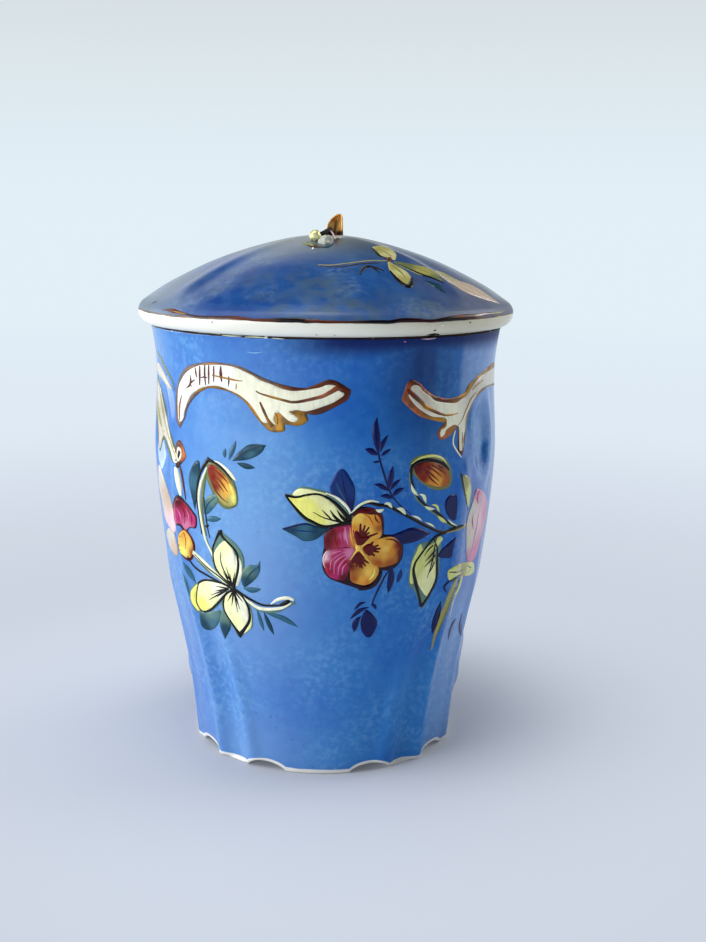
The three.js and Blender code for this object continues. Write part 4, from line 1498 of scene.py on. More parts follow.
PANSY = motif(
    """
fill base: 332,496 330,487 333,479 339,470 345,470 351,479 355,489 354,505 350,514 341,502 / 342,476 dusk
350,490 dusk 336,490 dusk 349,508 navy;
line petal: 342,474 344,488 349,506 / 0.15 0.35 0.12 / navy;
hair petal: 336,483 340,491 346,502 / 0.3 / teal;
fill base: 282,529 282,529 290,526 304,523 316,526 328,528 322,535 314,540 304,541 295,536 / 290,529
deep_teal 305,530 teal 317,531 deep_teal;
line petal: 283,529 304,524 318,527 / 0.45 0.35 0.4 0.2 / navy;
line petal: 288,530 303,531 318,532 / 0.15 0.35 0.12 / dusk;
fill base: 386,538 402,531 410,528 418,528 431,533 431,533 417,541 402,544 391,542 / navy;
fill halo: 285,494 285,494 294,493 298,488 307,487 328,492 340,499 349,508 354,520 343,526 321,528 310,524
301,517 292,506 / sage;
fill petal: 293,495 298,489 307,489 316,491 327,494 319,497 306,498 / straw;
fill petal: 288,497 297,498 306,496 316,495 323,496 331,502 342,513 347,521 340,523 322,525 304,515 294,505
/ 299,500 lemon 312,506 lemon 322,500 straw 335,511 straw 318,519 lemon 338,520 straw;
line petal: 326,493 337,498 347,507 352,517 / 0.2 0.55 0.6 0.25 / cream;
line line: 285,495 296,497 306,495 316,494 324,496 334,502 342,510 350,520 / 0.6 0.5 0.45 0.45 0.5 0.6 0.75
1.1 / black;
line line: 286,495 289,500 303,516 313,522 322,526 332,526 351,522 / 0.5 0.45 0.6 0.7 0.65 0.65 0.65 0.8 1.2
/ black;
line line: 313,512 325,518 345,523 / 0.12 0.28 0.6 / black;
line line: 322,510 327,515 332,520 / 0.12 0.35 0.3 / black;
line line: 330,510 335,517 342,523 / 0.12 0.6 0.6 / black;
line line: 337,510 341,516 348,523 / 0.12 0.65 0.8 / black;
fill halo: 350,519 354,510 362,507 373,508 382,514 384,525 384,534 393,535 402,542 403,552 400,562 391,570
381,571 378,579 371,587 360,589 350,586 338,582 329,578 323,570 322,558 324,546 324,535 331,527 341,523 /
plum;
fill petal: 352,521 355,516 361,513 370,514.5 376,514.5 380,518 382,532 379,538 370,543 359,548 355,542
352,533 / 358,518 butter 368,520 amber 368,532 butter 378,522 orange 354,530 orange 377,536 amber 379,528
rust;
line shade: 353,515 360,511.5 367,512 375,511 381,517 382,524 / 0.3 0.8 0.8 0.9 0.6 0.15 / maroon;
hair shade: 364,514 369,517 373,524 / 0.3 / rust;
hair shade: 374.5,513.5 376,519.5 380,523.5 / 0.4 / maroon;
hair shade: 356.5,517.5 361.5,515.5 366,517 / 0.35 / butter;
fill petal: 359,548 370,542 387,537 395,538 401,545 401,553 397,562 388,566 379,567 371,562 365,555 /
377,545 amber 389,544 amber 384,556 amber 397,546 red_brown 400,552 maroon 392,551 orange 390,563 rust
378,563 rust 386,549 butter;
line shade: 385,539 394,540 400,546 400,554 397,561 / 0.15 0.4 0.6 0.65 0.2 / maroon;
fill petal: 356,549 367,555 373,564 378,567 378,574 372,582 365,585 358,584 351,581 350,573 349,561 /
357,564 rust 354,578 rust 362,579 amber 369,572 butter 375,570 amber 366,583 orange 351,566 maroon;
hair shade: 374,568 374,574 369,580 / 0.4 / lemon;
fill petal: 325,535 332,529 341,525 351,525 354,532 355,540 356,548 346,547 336,549 328,551 324,545 /
327,541 maroon 333,533 maroon 338,541 crimson 341,530 crimson 345,536 pink 347,543 magenta 351.5,529 magenta
353,541 orange;
line shade: 345,527 346,534 348,545 / 0.15 0.8 0.15 / pink;
hair shade: 341,529 342,536 343,545 / 0.45 / magenta;
hair shade: 350,527 351,535 353,545 / 0.45 / amber;
hair shade: 335,531 335,539 338,547 / 0.4 / red_brown;
fill petal: 326,551 336,549 346,548 355,549 351,559 349,569 346,579 339,580 330,577 325,570 324,559 /
325.6,557 pale_pink 328,565 crimson 333,557 magenta 341,553 magenta 349,553 pink 339,566 magenta 345,563
crimson 335,575 magenta 343,577 maroon 330,571 crimson;
line shade: 327,551 324,556 323.5,562 325,568 / 0.2 0.45 0.4 0.12 / pale_pink;
hair shade: 328,557 333,553 341,551 / 0.35 / pink;
line shade: 330,570 332,560 342,553 350,552 / 0.1 0.28 0.1 / pink;
line shade: 334,574 335,563 343,556 349,555 / 0.1 0.28 0.1 / pink;
line shade: 338,575 339,567 344,560 349,557 / 0.1 0.28 0.1 / pink;
line shade: 342,575 343,568 347,563 / 0.1 0.28 0.1 / pink;
line shade: 331,565 334,557 343,552 / 0.1 0.3 0.1 / crimson;
line shade: 336,568 339,561 346,556 / 0.1 0.3 0.1 / crimson;
fill shade: 354.5,532 357.5,531 361,536 367,537 371.5,535.5 366,541.5 360.5,546 356,543 / maroon;
rays shade: 360,540 / 360.5,523.5 365,525 369,527 369.5,532 377.5,533 / 0.9 0.6 0.35 / maroon;
fill shade: 362.5,548.5 367,544 372,544 374,549 371,555.5 366,554 / maroon;
rays shade: 368,549.5 / 373,541.5 378.5,545 380.5,548.5 379,552 374.5,556 / 0.9 0.6 0.4 / maroon;
fill shade: 351,561 353.5,555.5 357,552.5 361,552 364,557 362,562.5 355.5,563 / maroon;
rays shade: 358,557.5 / 351,563.5 356.5,567 360,567.5 362.5,568.5 365.5,566 369,563 / 0.8 0.55 0.3 / maroon;
fill line: 355.5,546.5 358.5,545.2 361.8,546.6 361.2,550 358,551.2 355.8,549.5 / butter;
rays line: 358.5,548 / 371,541 365,543.5 370.5,563.5 350,560 354,543.5 / 0.6 0.3 0.1 / butter;
fill base: 363,586 372,583 377,575 382,571 380,580 374,587 366,590 358,590 / plum;
"""
)

PANSY_STEM = motif(
    """
line line: 349,518 356,509 367,503 378,505 388,506 400,512 428,527 443,532 454,528 465,525 / 0.7 0.55 0.6
0.8 0.7 0.6 0.65 0.55 0.7 0.6 0.4 / black;
line glint: 351,513 360,505 370,501 379,502 / 0.2 0.5 0.5 0.2 / stem;
leaf glint: 375.5,509.5 379.5,511 384,509 / 0.75 / stem;
leaf glint: 384,504 388.5,503.5 392,508 / 0.75 / stem;
leaf glint: 396.5,508.5 401.5,509.5 405.5,514.5 / 0.9 / stem;
leaf glint: 411.5,515.5 417.5,517.5 422,521 / 0.45 / stem;
leaf glint: 424.5,522 430.5,524.5 435,527.5 / 0.4 / stem;
line glint: 446,533 459,529 465,525 / 0.2 0.35 0.35 0.5 / moss;
line line: 366,507 373,510 379,514 / 0.3 0.45 0.12 / maroon;
"""
)

NAVY_SPRIG = motif(
    """
line base: 378,445 379,456 383,471 391,494 402,507 411,514 / 0.25 0.4 0.35 0.3 0.12 / navy;
leaf base: 377,417 376,430 378,453 / 1.6 / navy;
leaf base: 365,449 371,451 378,455 / 1.35 / navy;
leaf base: 388,435 383,443 380,452 / 0.95 / navy;
leaf base: 391,449 386,452 381,456 / 0.75 / navy;
leaf base: 372.5,462 376,462 380.5,461 / 0.5 / navy;
leaf base: 393,466 391,476 389,489 / 1.3 / navy;
leaf base: 374,484 381,486 390,491 / 1.1 / navy;
leaf base: 401,479 396,483 390,490 / 0.9 / navy;
leaf base: 404,488 398,491 392,496 / 1.15 / navy;
leaf base: 380,496 386,496 394,498 / 1 / navy;
line base: 390,570 385,576 374,598 372,606 / 0.2 0.45 0.5 0.4 0.3 / navy;
leaf base: 391,565 391,578 388,593 / 1.65 / navy;
leaf base: 401,569 400,575 397,583 / 1.2 / dusk;
leaf base: 369,607 359,611 350,619 / 1.05 / navy;
leaf base: 366,602 360,604 354,610 / 0.75 / navy;
leaf base: 361,616 356,622 354,632 / 1.5 / navy;
leaf base: 372,603 374.5,606 376,609.5 / 0.8 / navy;
fill petal: 366,610 373,615 377,622 375,630 370,637 365,636 361,629 361,619 / navy;
"""
)

RIGHT_BUD = motif(
    """
fill base: 449,496 456,495 457,507 455,520 450,518 446,512 445,503 / navy;
line halo: 410,472 411,484 416,496 423,504 439,516 447,523 458,529 / 0.5 0.6 0.8 0.8 0.8 0.7 0.6 0.3 / sage;
fill halo: 410,470 412,460 422,455 434,454 444,458 450,466 452,477 450,486 442,490 432,489 423,484 415,476 /
olive;
fill petal: 414,466 425,462 438,463 446,468 449,477 448,484 441,487 425,483 417,476 / 418,468 maroon 428,468
red_brown 424,478 red_brown 435,472 orange 438,481 amber 432,484 orange 447,474 rust 445,484 rust 441,465
maroon;
line shade: 425,469 431,474 439,481 / 0.35 0.4 0.12 / maroon;
line shade: 428,466 435,471 442,477 / 0.35 0.4 0.12 / maroon;
line shade: 426,472 431,479 438,485 / 0.35 0.4 0.12 / maroon;
line shade: 432,465 439,469 446,474 / 0.35 0.4 0.12 / maroon;
line petal: 412,464 421,458 433,456 443,459 447,466 / 0.35 0.5 0.5 0.45 0.2 / leaf;
line line: 411,481 412,467 421,461 433,460 443,463 449,470 / 0.35 0.7 0.9 0.95 0.85 0.3 / black;
line line: 411,467 411,476 413,486 417,496 424,504 440,515 447,522 458,528 / 0.4 0.45 0.5 0.5 0.55 0.6 0.55
0.5 0.5 / black;
leaf glint: 411,484 413,490 418,496 / 0.7 / stem;
leaf glint: 419,494 423.5,496 426,503 / 0.75 / stem;
leaf glint: 424.5,506 429,508.5 434.5,509 / 0.7 / stem;
leaf glint: 431.5,504.5 436.5,506 439,512 / 0.6 / leaf;
leaf glint: 437,515.5 441,519 446.5,523 / 0.75 / leaf;
leaf glint: 447.5,519 451.5,523 457.5,526 / 0.4 / stem;
line petal: 454,530 460,527 466,525 / 0.6 0.6 0.7 / moss;
"""
)

HANGING_LEAF = motif(
    """
fill base: 438,556 442,549 456,537 456,537 453,549 451,557 444,558 / navy;
fill halo: 438,538 427,542 418,545 412,559 409,573 409,586 413,589 418,600 421,609 421,609 427,601 436,582
439,569 440,554 441,543 / sage;
fill petal: 420,544 416,553 412,562 410,573 410,583 413,583 412,573 415,564 422,550 / leaf;
fill petal: 422,550 432,544 435,543 435,558 435,579 430,594 426,596 420,588 415,576 416,561 / 428,548 leaf
420,565 leaf 430,570 straw 425,588 straw 433,555 moss;
line line: 456,529 444,533 433,539 418,558 414,566 414,575 421,606 / 0.5 0.6 0.6 0.5 0.5 0.65 0.85 0.6 0.75
/ black;
line line: 434,539 437,549 437,560 436,579 428,596 421,607 / 0.3 0.45 0.6 0.8 0.75 0.7 / black;
line line: 435,544 432,561 427,578 / 0.45 0.4 0.1 / black;
line line: 433,545 428,550 424,556 / 0.45 0.4 0.1 / black;
line line: 435,550 430,556 425,561 / 0.45 0.4 0.1 / black;
line line: 435,555 430,561 424,567 / 0.45 0.4 0.1 / black;
line line: 434,562 431,569 428,574 / 0.45 0.4 0.1 / black;
fill shade: 438.5,536.5 442.5,538.5 439,544 435,549 434.5,544 / leaf;
"""
)

RIGHT_PANEL = motif(
    """
fill petal: 463,476 469,478 471,491 468,507 465,491 / 466,480 moss 468,496 leaf;
line base: 461,473 466,497 468,510 / 0.3 0.6 0.5 0.2 / black;
fill petal: 477,489 485,495 486,511 481,536 474,559 467,561 466,540 467,520 472,503 / 478,492 pink 472,508
shade 478,520 pale_pink 484,512 pink 469,540 shade 475,550 pink 469,558 pink;
line shade: 479,491 477,497 478,504 / 0.3 0.8 0.2 / magenta;
line shade: 479,508 476,528 471,552 / 0.2 0.9 0.2 / pink;
line shade: 473,514 472,521 473,529 / 0.15 0.5 0.15 / bark;
fill shade: 448,571 455,566 462,563 472,562 474,568 472,574 465,576 458,575 449,580 / 452,574 leaf 462,569
moss 470,568 leaf;
line line: 449,572 457,572 464,569 / 0.25 0.45 0.2 / black;
line line: 450,581 458,577 463,573 / 0.35 0.5 0.2 / black;
line line: 466.5,565.5 470.5,568 467,573 / 0.15 0.35 0.15 / sage;
line petal: 462,574 459,586 454,598 449,618 / 1 1.5 1.3 0.3 / leaf;
line petal: 457,578 437,629 431,650 / 0.8 1.2 1.1 0.8 0.2 / moss;
line shade: 460,579 453,594 447,611 438,632 / 0.15 0.35 0.35 0.12 / olive;
line line: 449,581 444,587 446,592 / 0.3 0.5 0.15 / black;
leaf base: 441,601 437,614 432,634 / 2 / navy;
leaf base: 456,618 451,628 448,640 / 1.6 / dusk;
leaf base: 462,613 460,624 461,636 / 1.3 / dusk;
"""
)

WALL_MOTIFS = (
    LEFT_SCROLL,
    RIGHT_SCROLL,
    LEFT_PANEL,
    EDGE_PANSY,
    BUD_SPRAY,
    YELLOW_FLOWER,
    PANSY,
    PANSY_STEM,
    NAVY_SPRIG,
    RIGHT_BUD,
    HANGING_LEAF,
    RIGHT_PANEL,
)

# The fill of olive, umber and deep teal just below the knob is a painted shadow under its bud and root.
LID_SPRIG = motif(
    """
line petal: 318,265 334,265 368,261 387,261 / 0.15 0.3 0.3 0.35 0.35 / moss;
line base: 318,266 340,267 360,264 380,263 / 0.15 0.35 0.35 0.2 / umber;
fill petal: 372,248 382,246 390,249 396,254 395,260 389,258 380,255 / 378,249 moss 391,255 husk;
line line: 372,248 380,256 388,259 / 0.3 0.7 0.5 / black;
line shade: 376,250 384,252 392,257 / 0.12 0.4 0.2 / olive;
fill line: 386.5,258.5 390.5,257.5 391.5,260.5 388.5,262 / bark;
fill petal: 388,262 395,265 404,270 411,277 411,284 406,284 397,279 390,271 / 392,267 moss 401,273 husk
407,281 moss;
line line: 390,271 397,279 406,286 411,285 412,278 / 0.3 0.7 1.1 1.2 0.3 / black;
line shade: 391,265 399,271 406,278 / 0.15 0.5 0.15 / olive;
fill petal: 394,262 424,267 436,273 444,283 444,283 431,277 417,274 / 404,265 olive 424,271 moss 438,279
olive;
line line: 395,263 420,274 432,278 444,283 / 0.2 0.6 0.6 0.5 0.2 / black;
hair shade: 400,264 416,268 432,275 / 0.35 / olive;
fill petal: 434,271 443,273 459,281 475,287 500,304 500,304 480,298 465,292 452,284 / 444,275 moss 465,287
sand 488,299 sand;
line shade: 436,272 452,280 468,289 492,301 / 0.15 0.5 0.45 0.15 / shade;
leaf base: 424,281 436,286 446,293 / 2.2 / deep_teal;
line shade: 360,275 364,268 371,267 380,273 / 0.2 0.7 0.7 0.2 / black;
line shade: 368,266 376,268 384,271 / 0.2 0.6 0.2 / black;
fill base: 302,243 307,242 320,246 328,246 334,243 330,247 320,248 311,247 305,245 / 305,244 olive 314,246
umber 330,246 deep_teal;
fill shade: 312,248 313.5,247.5 314,249 312.5,249.5 / white;
"""
)


# The short black line along the band's lower edge at the right is a painted shadow in the gap under the lid.
BAND_LINE = motif(
    """
line base: 162,310 170,310 196,316 230,317 258,320 296,320 306,321 315,321 330,322 377,322 390,322 403,320
416,320 432,321 455,318 477,316 486,314 496,313 506,311 / 0.1 0.85 0.35 0.3 0.35 0.6 0.55 0.85 0.95 0.6 0.45
0.7 0.75 0.65 0.6 0.95 1.1 0.85 0.5 0.35 0.1 / worn_gilt bark umber umber umber bark bark black black bark
umber black black oxblood oxblood black oxblood bark umber moss worn_gilt;
line line gilt: 174,311 179,312.5 186,314 / 0.1 0.62 0.1 / gilt;
line line gilt: 243,318 252,319 265,319 / 0.08 0.3 0.08 / bark;
line line gilt: 304,321 311,321 324,321 / 0.08 0.35 0.08 / bark;
line line gilt: 450,317 458,316 468,316 / 0.05 0.18 0.05 / red_gilt;
line line: 212,322 212.5,322.5 / 0.3 0.25 / black;
line line: 316,334.5 317,335 / 0.2 0.2 / worn_gilt;
line line: 334.5,335 335,335.5 / 0.25 0.2 / worn_gilt;
line line: 433.5,330.5 436,330.5 / 0.12 0.3 0.1 / black;
line line: 469.5,322.5 470.5,322.5 / 0.2 0.25 / black;
line line: 424,336 434,334.5 440,336 / 0.1 0.5 0.55 0.1 / black;
line line: 427,327 429.5,326 / 0.1 0.25 / white;
line line: 441.5,326 443.5,325 / 0.1 0.25 / white;
line line: 152.5,303 156.5,301.5 / 0.1 0.32 0.1 / dusk;
"""
)

# Worn pale dashes along the mug's rim, and black lines at the left that are a painted shadow in the gap under
# the lid.
RIM_WEAR_AND_SHADOW = motif(
    """
line line: 159,324 163,326 168,326 176,328 184,329 / 0.1 0.7 0.3 0.45 0.1 / black;
line line: 166,328.5 170,328.5 / 0.1 0.4 0.1 / black;
line line: 192,331 206,332 220,334 / 0.08 0.2 0.12 / stem;
line line: 222,335 232,336 242,336 / 0.08 0.2 0.1 / stem;
line line: 245,337 256,337 268,338 / 0.1 0.2 0.08 / stem;
line line: 272,338 284,339 / 0.08 0.18 0.06 / stem;
line line: 421,339 428,339 436,338 / 0.08 0.28 0.08 / pale_pink;
line line: 404,341.5 406,342 / 0.2 0.24 / pink;
line halo: 247,352 254,353 263,352 / 0.1 0.26 0.1 / mist;
"""
)


@dataclass
class Studio:
    """A pale floor and backdrop, a wide window at the left front and a dim room at the right front."""

    floor_half: float = 4.0
    near_floor: Colour = paint(184, 188, 198)
    far_floor: Colour = paint(223, 234, 245)
    sky_low: Colour = paint(226, 239, 247)
    sky_high: Colour = paint(209, 214, 214)
    room_dark: Colour = paint(20, 22, 28)
    room_left: Colour = paint(96, 108, 132)
    back_left: Colour = paint(246, 249, 252)
    back_right: Colour = paint(168, 166, 162)
    middle_floor: Colour = paint(205, 212, 225)
    fade_start: float = 0.0
    fade_end: float = 0.14
    fade_far: float = 0.5
    aim_height: float = 0.06

    def floor(self) -> None:
        """Lays the floor, which turns into the backdrop's light further out."""
        half = self.floor_half / MM
        corners = np.array([(-half, -half, 0), (half, -half, 0), (half, half, 0), (-half, half, 0)])
        shader = ShaderTree("pale_floor")
        x, y, _ = shader.split(shader.object_place, 1.0)
        distance = (x * x + y * y).math("SQRT")
        reach = distance.ramp(self.fade_start, self.fade_end)
        shader.set("Base Color", shader.mix(reach, self.near_floor, self.far_floor))
        shader.set("Roughness", 0.6)
        shader.set("Specular IOR Level", 0.2)
        outer = shader.mix(distance.ramp(0.1, self.fade_far), self.middle_floor, self.far_floor)
        further = distance.ramp(self.fade_far, self.fade_far * 3)
        glow = shader.node("ShaderNodeEmission", {"Color": shader.mix(further, outer, self.sky_low)})
        camera, mirrored = self.rays(shader)
        seen = camera.math("MAXIMUM", mirrored * y.ramp(-0.04, 0.03)) * reach
        feed(shader.out.inputs[0], shader.node("ShaderNodeMixShader", {0: seen, 1: shader.shader, 2: glow}))
        mesh_object("floor", corners, [(0, 1, 2, 3)], shader.material)

    def rays(self, tree: Tree) -> tuple[Term, Term]:
        """Tells rays apart.

        Args:
            tree: The tree that asks.

        Returns:
            One for rays from the camera, and one for rays that a mirror or glass sent on.
        """
        path = tree.node("ShaderNodeLightPath").outputs
        sent = Term(path["Is Glossy Ray"]).math("MAXIMUM", Term(path["Is Transmission Ray"]))
        return Term(path["Is Camera Ray"]), sent

    def sky(self) -> None:
        """Sets the world: the pale backdrop behind, and the room that lights the mug in front."""
        world = bpy.data.worlds.new("soft_room")
        bpy.context.scene.world = world
        world.use_nodes = True
        tree = Tree(world.node_tree)
        x, y, z = tree.split(tree.node("ShaderNodeTexCoord").outputs["Generated"], 1.0)
        backdrop = tree.mix(z.ramp(0.0, 0.3), self.sky_low, self.sky_high)
        ceiling = tree.mix(x.ramp(0.05, 0.45), self.room_dark, self.back_right)
        ceiling = tree.mix((x * -1.0).ramp(-0.1, 0.15), ceiling, self.back_left)
        ceiling = tree.mix(z.ramp(0.55, 0.75), ceiling, self.room_dark)
        ceiling = tree.mix(z.ramp(0.14, 0.4), backdrop, ceiling)
        front = tree.mix((x * -1.0).ramp(-0.3, 0.6), self.room_dark, self.room_left)
        room = tree.mix(y.ramp(-0.2, 0.3), front, ceiling)
        camera, _ = self.rays(tree)
        back = tree.node("ShaderNodeBackground", {"Color": tree.mix(camera, room, backdrop)})
        tree.node("ShaderNodeOutputWorld", {0: back})

    def lamp(self, name: str, turn: float, climb: float, distance: float, size: Point, level: float) -> None:
        """Hangs one soft rectangular lamp that faces the mug.

        Args:
            name: The lamp's name.
            turn: Its direction round the mug in degrees, 0 in front and 90 at the right.
            climb: Its direction above the floor in degrees.
            distance: Its distance in metres.
            size: Its width and height in metres.
            level: How bright it shows a white surface that faces it.
        """
        data = bpy.data.lights.new(name, "AREA")
        data.shape = "RECTANGLE"
        data.size, data.size_y = size
        data.energy = level * (math.pi * distance) ** 2
        lamp = bpy.data.objects.new(name, data)
        bpy.context.scene.collection.objects.link(lamp)
        flat = math.cos(climb * DEGREE)
        across, along = math.sin(turn * DEGREE) * flat, -math.cos(turn * DEGREE) * flat
        way = Vector((across, along, math.sin(climb * DEGREE)))
        aim = Matrix.Translation(Vector((0, 0, self.aim_height)) + way * distance)
        lamp.matrix_world = aim @ way.to_track_quat("Z", "Y").to_matrix().to_4x4()

    def build(self) -> None:
        """Makes floor, sky and lamps, and shows colours as they are."""
        bpy.context.scene.view_settings.view_transform = "Standard"
        self.floor()
        self.sky()
        self.lamp("left_window", turn=-72.0, climb=9.0, distance=1.3, size=(3.2, 0.5), level=1.34)
        self.lamp("key_softbox", turn=-62.0, climb=52.0, distance=1.1, size=(0.6, 0.6), level=0.34)
        self.lamp("ceiling_softbox", turn=-30.0, climb=81.0, distance=1.2, size=(0.35, 0.35), level=0.34)
        self.lamp("back_window", turn=112.0, climb=30.0, distance=1.4, size=(0.9, 0.7), level=0.42)


@dataclass
class Relief:
    """The moulded relief of the wall, in millimetres and degrees from the front."""

    rib_foot_angle: float = 46.0
    rib_top_angle: float = 52.0
    rib_lean_height: float = 50.0
    rib_relief: float = 1.0
    rib_width: float = 1.7
    rib_end: float = 67.0
    rib_fade: float = 8.0
    fold_foot_angle: float = 28.0
    fold_top_angle: float = 38.0
    fold_top_height: float = 42.0
    fold_relief: float = 0.7
    fold_width: float = 2.1
    groove_relief: float = 0.7
    groove_width: float = 2.4
    pleat_angle: float = 71.0
    pleat_relief: float = 0.6
    pleat_width: float = 2.0
    pleat_top_height: float = 60.0
    oval_angle: float = 62.5
    oval_height: float = 76.0
    oval_half_width: float = 5.0
    oval_half_height: float = 10.5
    oval_hollow: float = 1.1
    oval_frame: float = 0.5
    shell_height: float = 17.0
    shell_half_height: float = 8.0
    shell_half_width: float = 8.0
    shell_relief: float = 0.9
    shell_lobes: float = 5.0
    arch_angle: float = 22.5
    side_arch_angle: float = 57.0
    arch_half_width: float = 4.8
    arch_height: float = 1.7
    arch_fade: float = 5.0

    def field(self, shape: ShapeTree) -> tuple[Term, Term]:
        """Builds the relief and the foot's arches in a tree.

        Args:
            shape: The tree that shapes the wall.

        Returns:
            How far each point moves outwards and how far up, in millimetres.
        """
        x, y, z = shape.place()
        radius = (x * x + y * y).math("SQRT")
        turn = x.math("ARCTAN2", y * -1.0).math("ABSOLUTE")
        folded = turn.math("MINIMUM", math.pi - turn)
        size = shape.size

        def across(angle: "Term | float") -> Term:
            """Distance along the wall from an angle in degrees."""
            return (folded - angle * DEGREE) * radius

        lean = z.ramp(0.0, size("rib_lean_height"))
        rib_angle = size("rib_foot_angle") + (size("rib_top_angle") - size("rib_foot_angle")) * lean
        climb = (z / size("fold_top_height")).math("MINIMUM", 1.0)
        fold_angle = size("fold_foot_angle") + (size("fold_top_angle") - size("fold_foot_angle")) * climb
        rib_fade = 1.0 - z.ramp(size("rib_end"), size("rib_end") + size("rib_fade"))
        fold_fade = 1.0 - z.ramp(size("fold_top_height") * 0.5, size("fold_top_height"))
        pleat_fade = 1.0 - z.ramp(size("pleat_top_height") * 0.5, size("pleat_top_height"))
        rise = size("rib_relief") * rib_fade * across(rib_angle).bump(size("rib_width"))
        rise += size("fold_relief") * fold_fade * across(fold_angle).bump(size("fold_width"))
        middle = (fold_angle + rib_angle) * 0.5
        rise -= size("groove_relief") * fold_fade * across(middle).bump(size("groove_width"))
        rise += size("pleat_relief") * pleat_fade * across(size("pleat_angle")).bump(size("pleat_width"))
        rise += self.oval(shape, across(size("oval_angle")), z - size("oval_height"))
        rise += self.shell(shape, across(90.0), z - size("shell_height"))
        arches = self.arch(shape, across(size("arch_angle")))
        arches += self.arch(shape, across(size("side_arch_angle")))
        lift = arches * (1.0 - z.ramp(0.0, size("arch_fade")))
        return rise * shape.attribute("outside"), lift * shape.attribute("skirt")

    def oval(self, shape: ShapeTree, across: Term, up: Term) -> Term:
        """An oval hollow in a raised frame.

        Args:
            shape: The tree.
            across: Distance from the oval's middle along the wall.
            up: Height above its middle.

        Returns:
            The relief.
        """
        wide = across / shape.size("oval_half_width")
        high = up / shape.size("oval_half_height")
        reach = (wide * wide + high * high).math("SQRT")
        hollow = 1.0 - reach.ramp(0.35, 0.95)
        frame_line = ((reach - 1.0) * shape.size("oval_half_width")).bump(shape.size("rib_width"))
        return frame_line * shape.size("oval_frame") - hollow * shape.size("oval_hollow")

    def shell(self, shape: ShapeTree, across: Term, up: Term) -> Term:
        """A shell with radiating lobes.

        Args:
            shape: The tree.
            across: Distance from the shell's middle along the wall.
            up: Height above its middle.

        Returns:
            The relief.
        """
        wide = across / shape.size("shell_half_width")
        high = up / shape.size("shell_half_height")
        reach = (wide * wide + high * high).math("MINIMUM", 1.0)
        spread = across.math("ARCTAN2", up + shape.size("shell_half_height"))
        lobes = (spread * shape.size("shell_lobes") * 2.0).math("COSINE") * 0.35 + 0.65
        return shape.size("shell_relief") * lobes * (1.0 - reach * reach)

    def arch(self, shape: ShapeTree, across: Term) -> Term:
        """One arch of the foot.

        Args:
            shape: The tree.
            across: Distance from the arch's middle along the wall.

        Returns:
            How far the foot's edge is lifted.
        """
        wide = across / shape.size("arch_half_width")
        left = (1.0 - wide * wide).math("MAXIMUM", 0.0)
        return shape.size("arch_height") * left.math("POWER", 0.75)


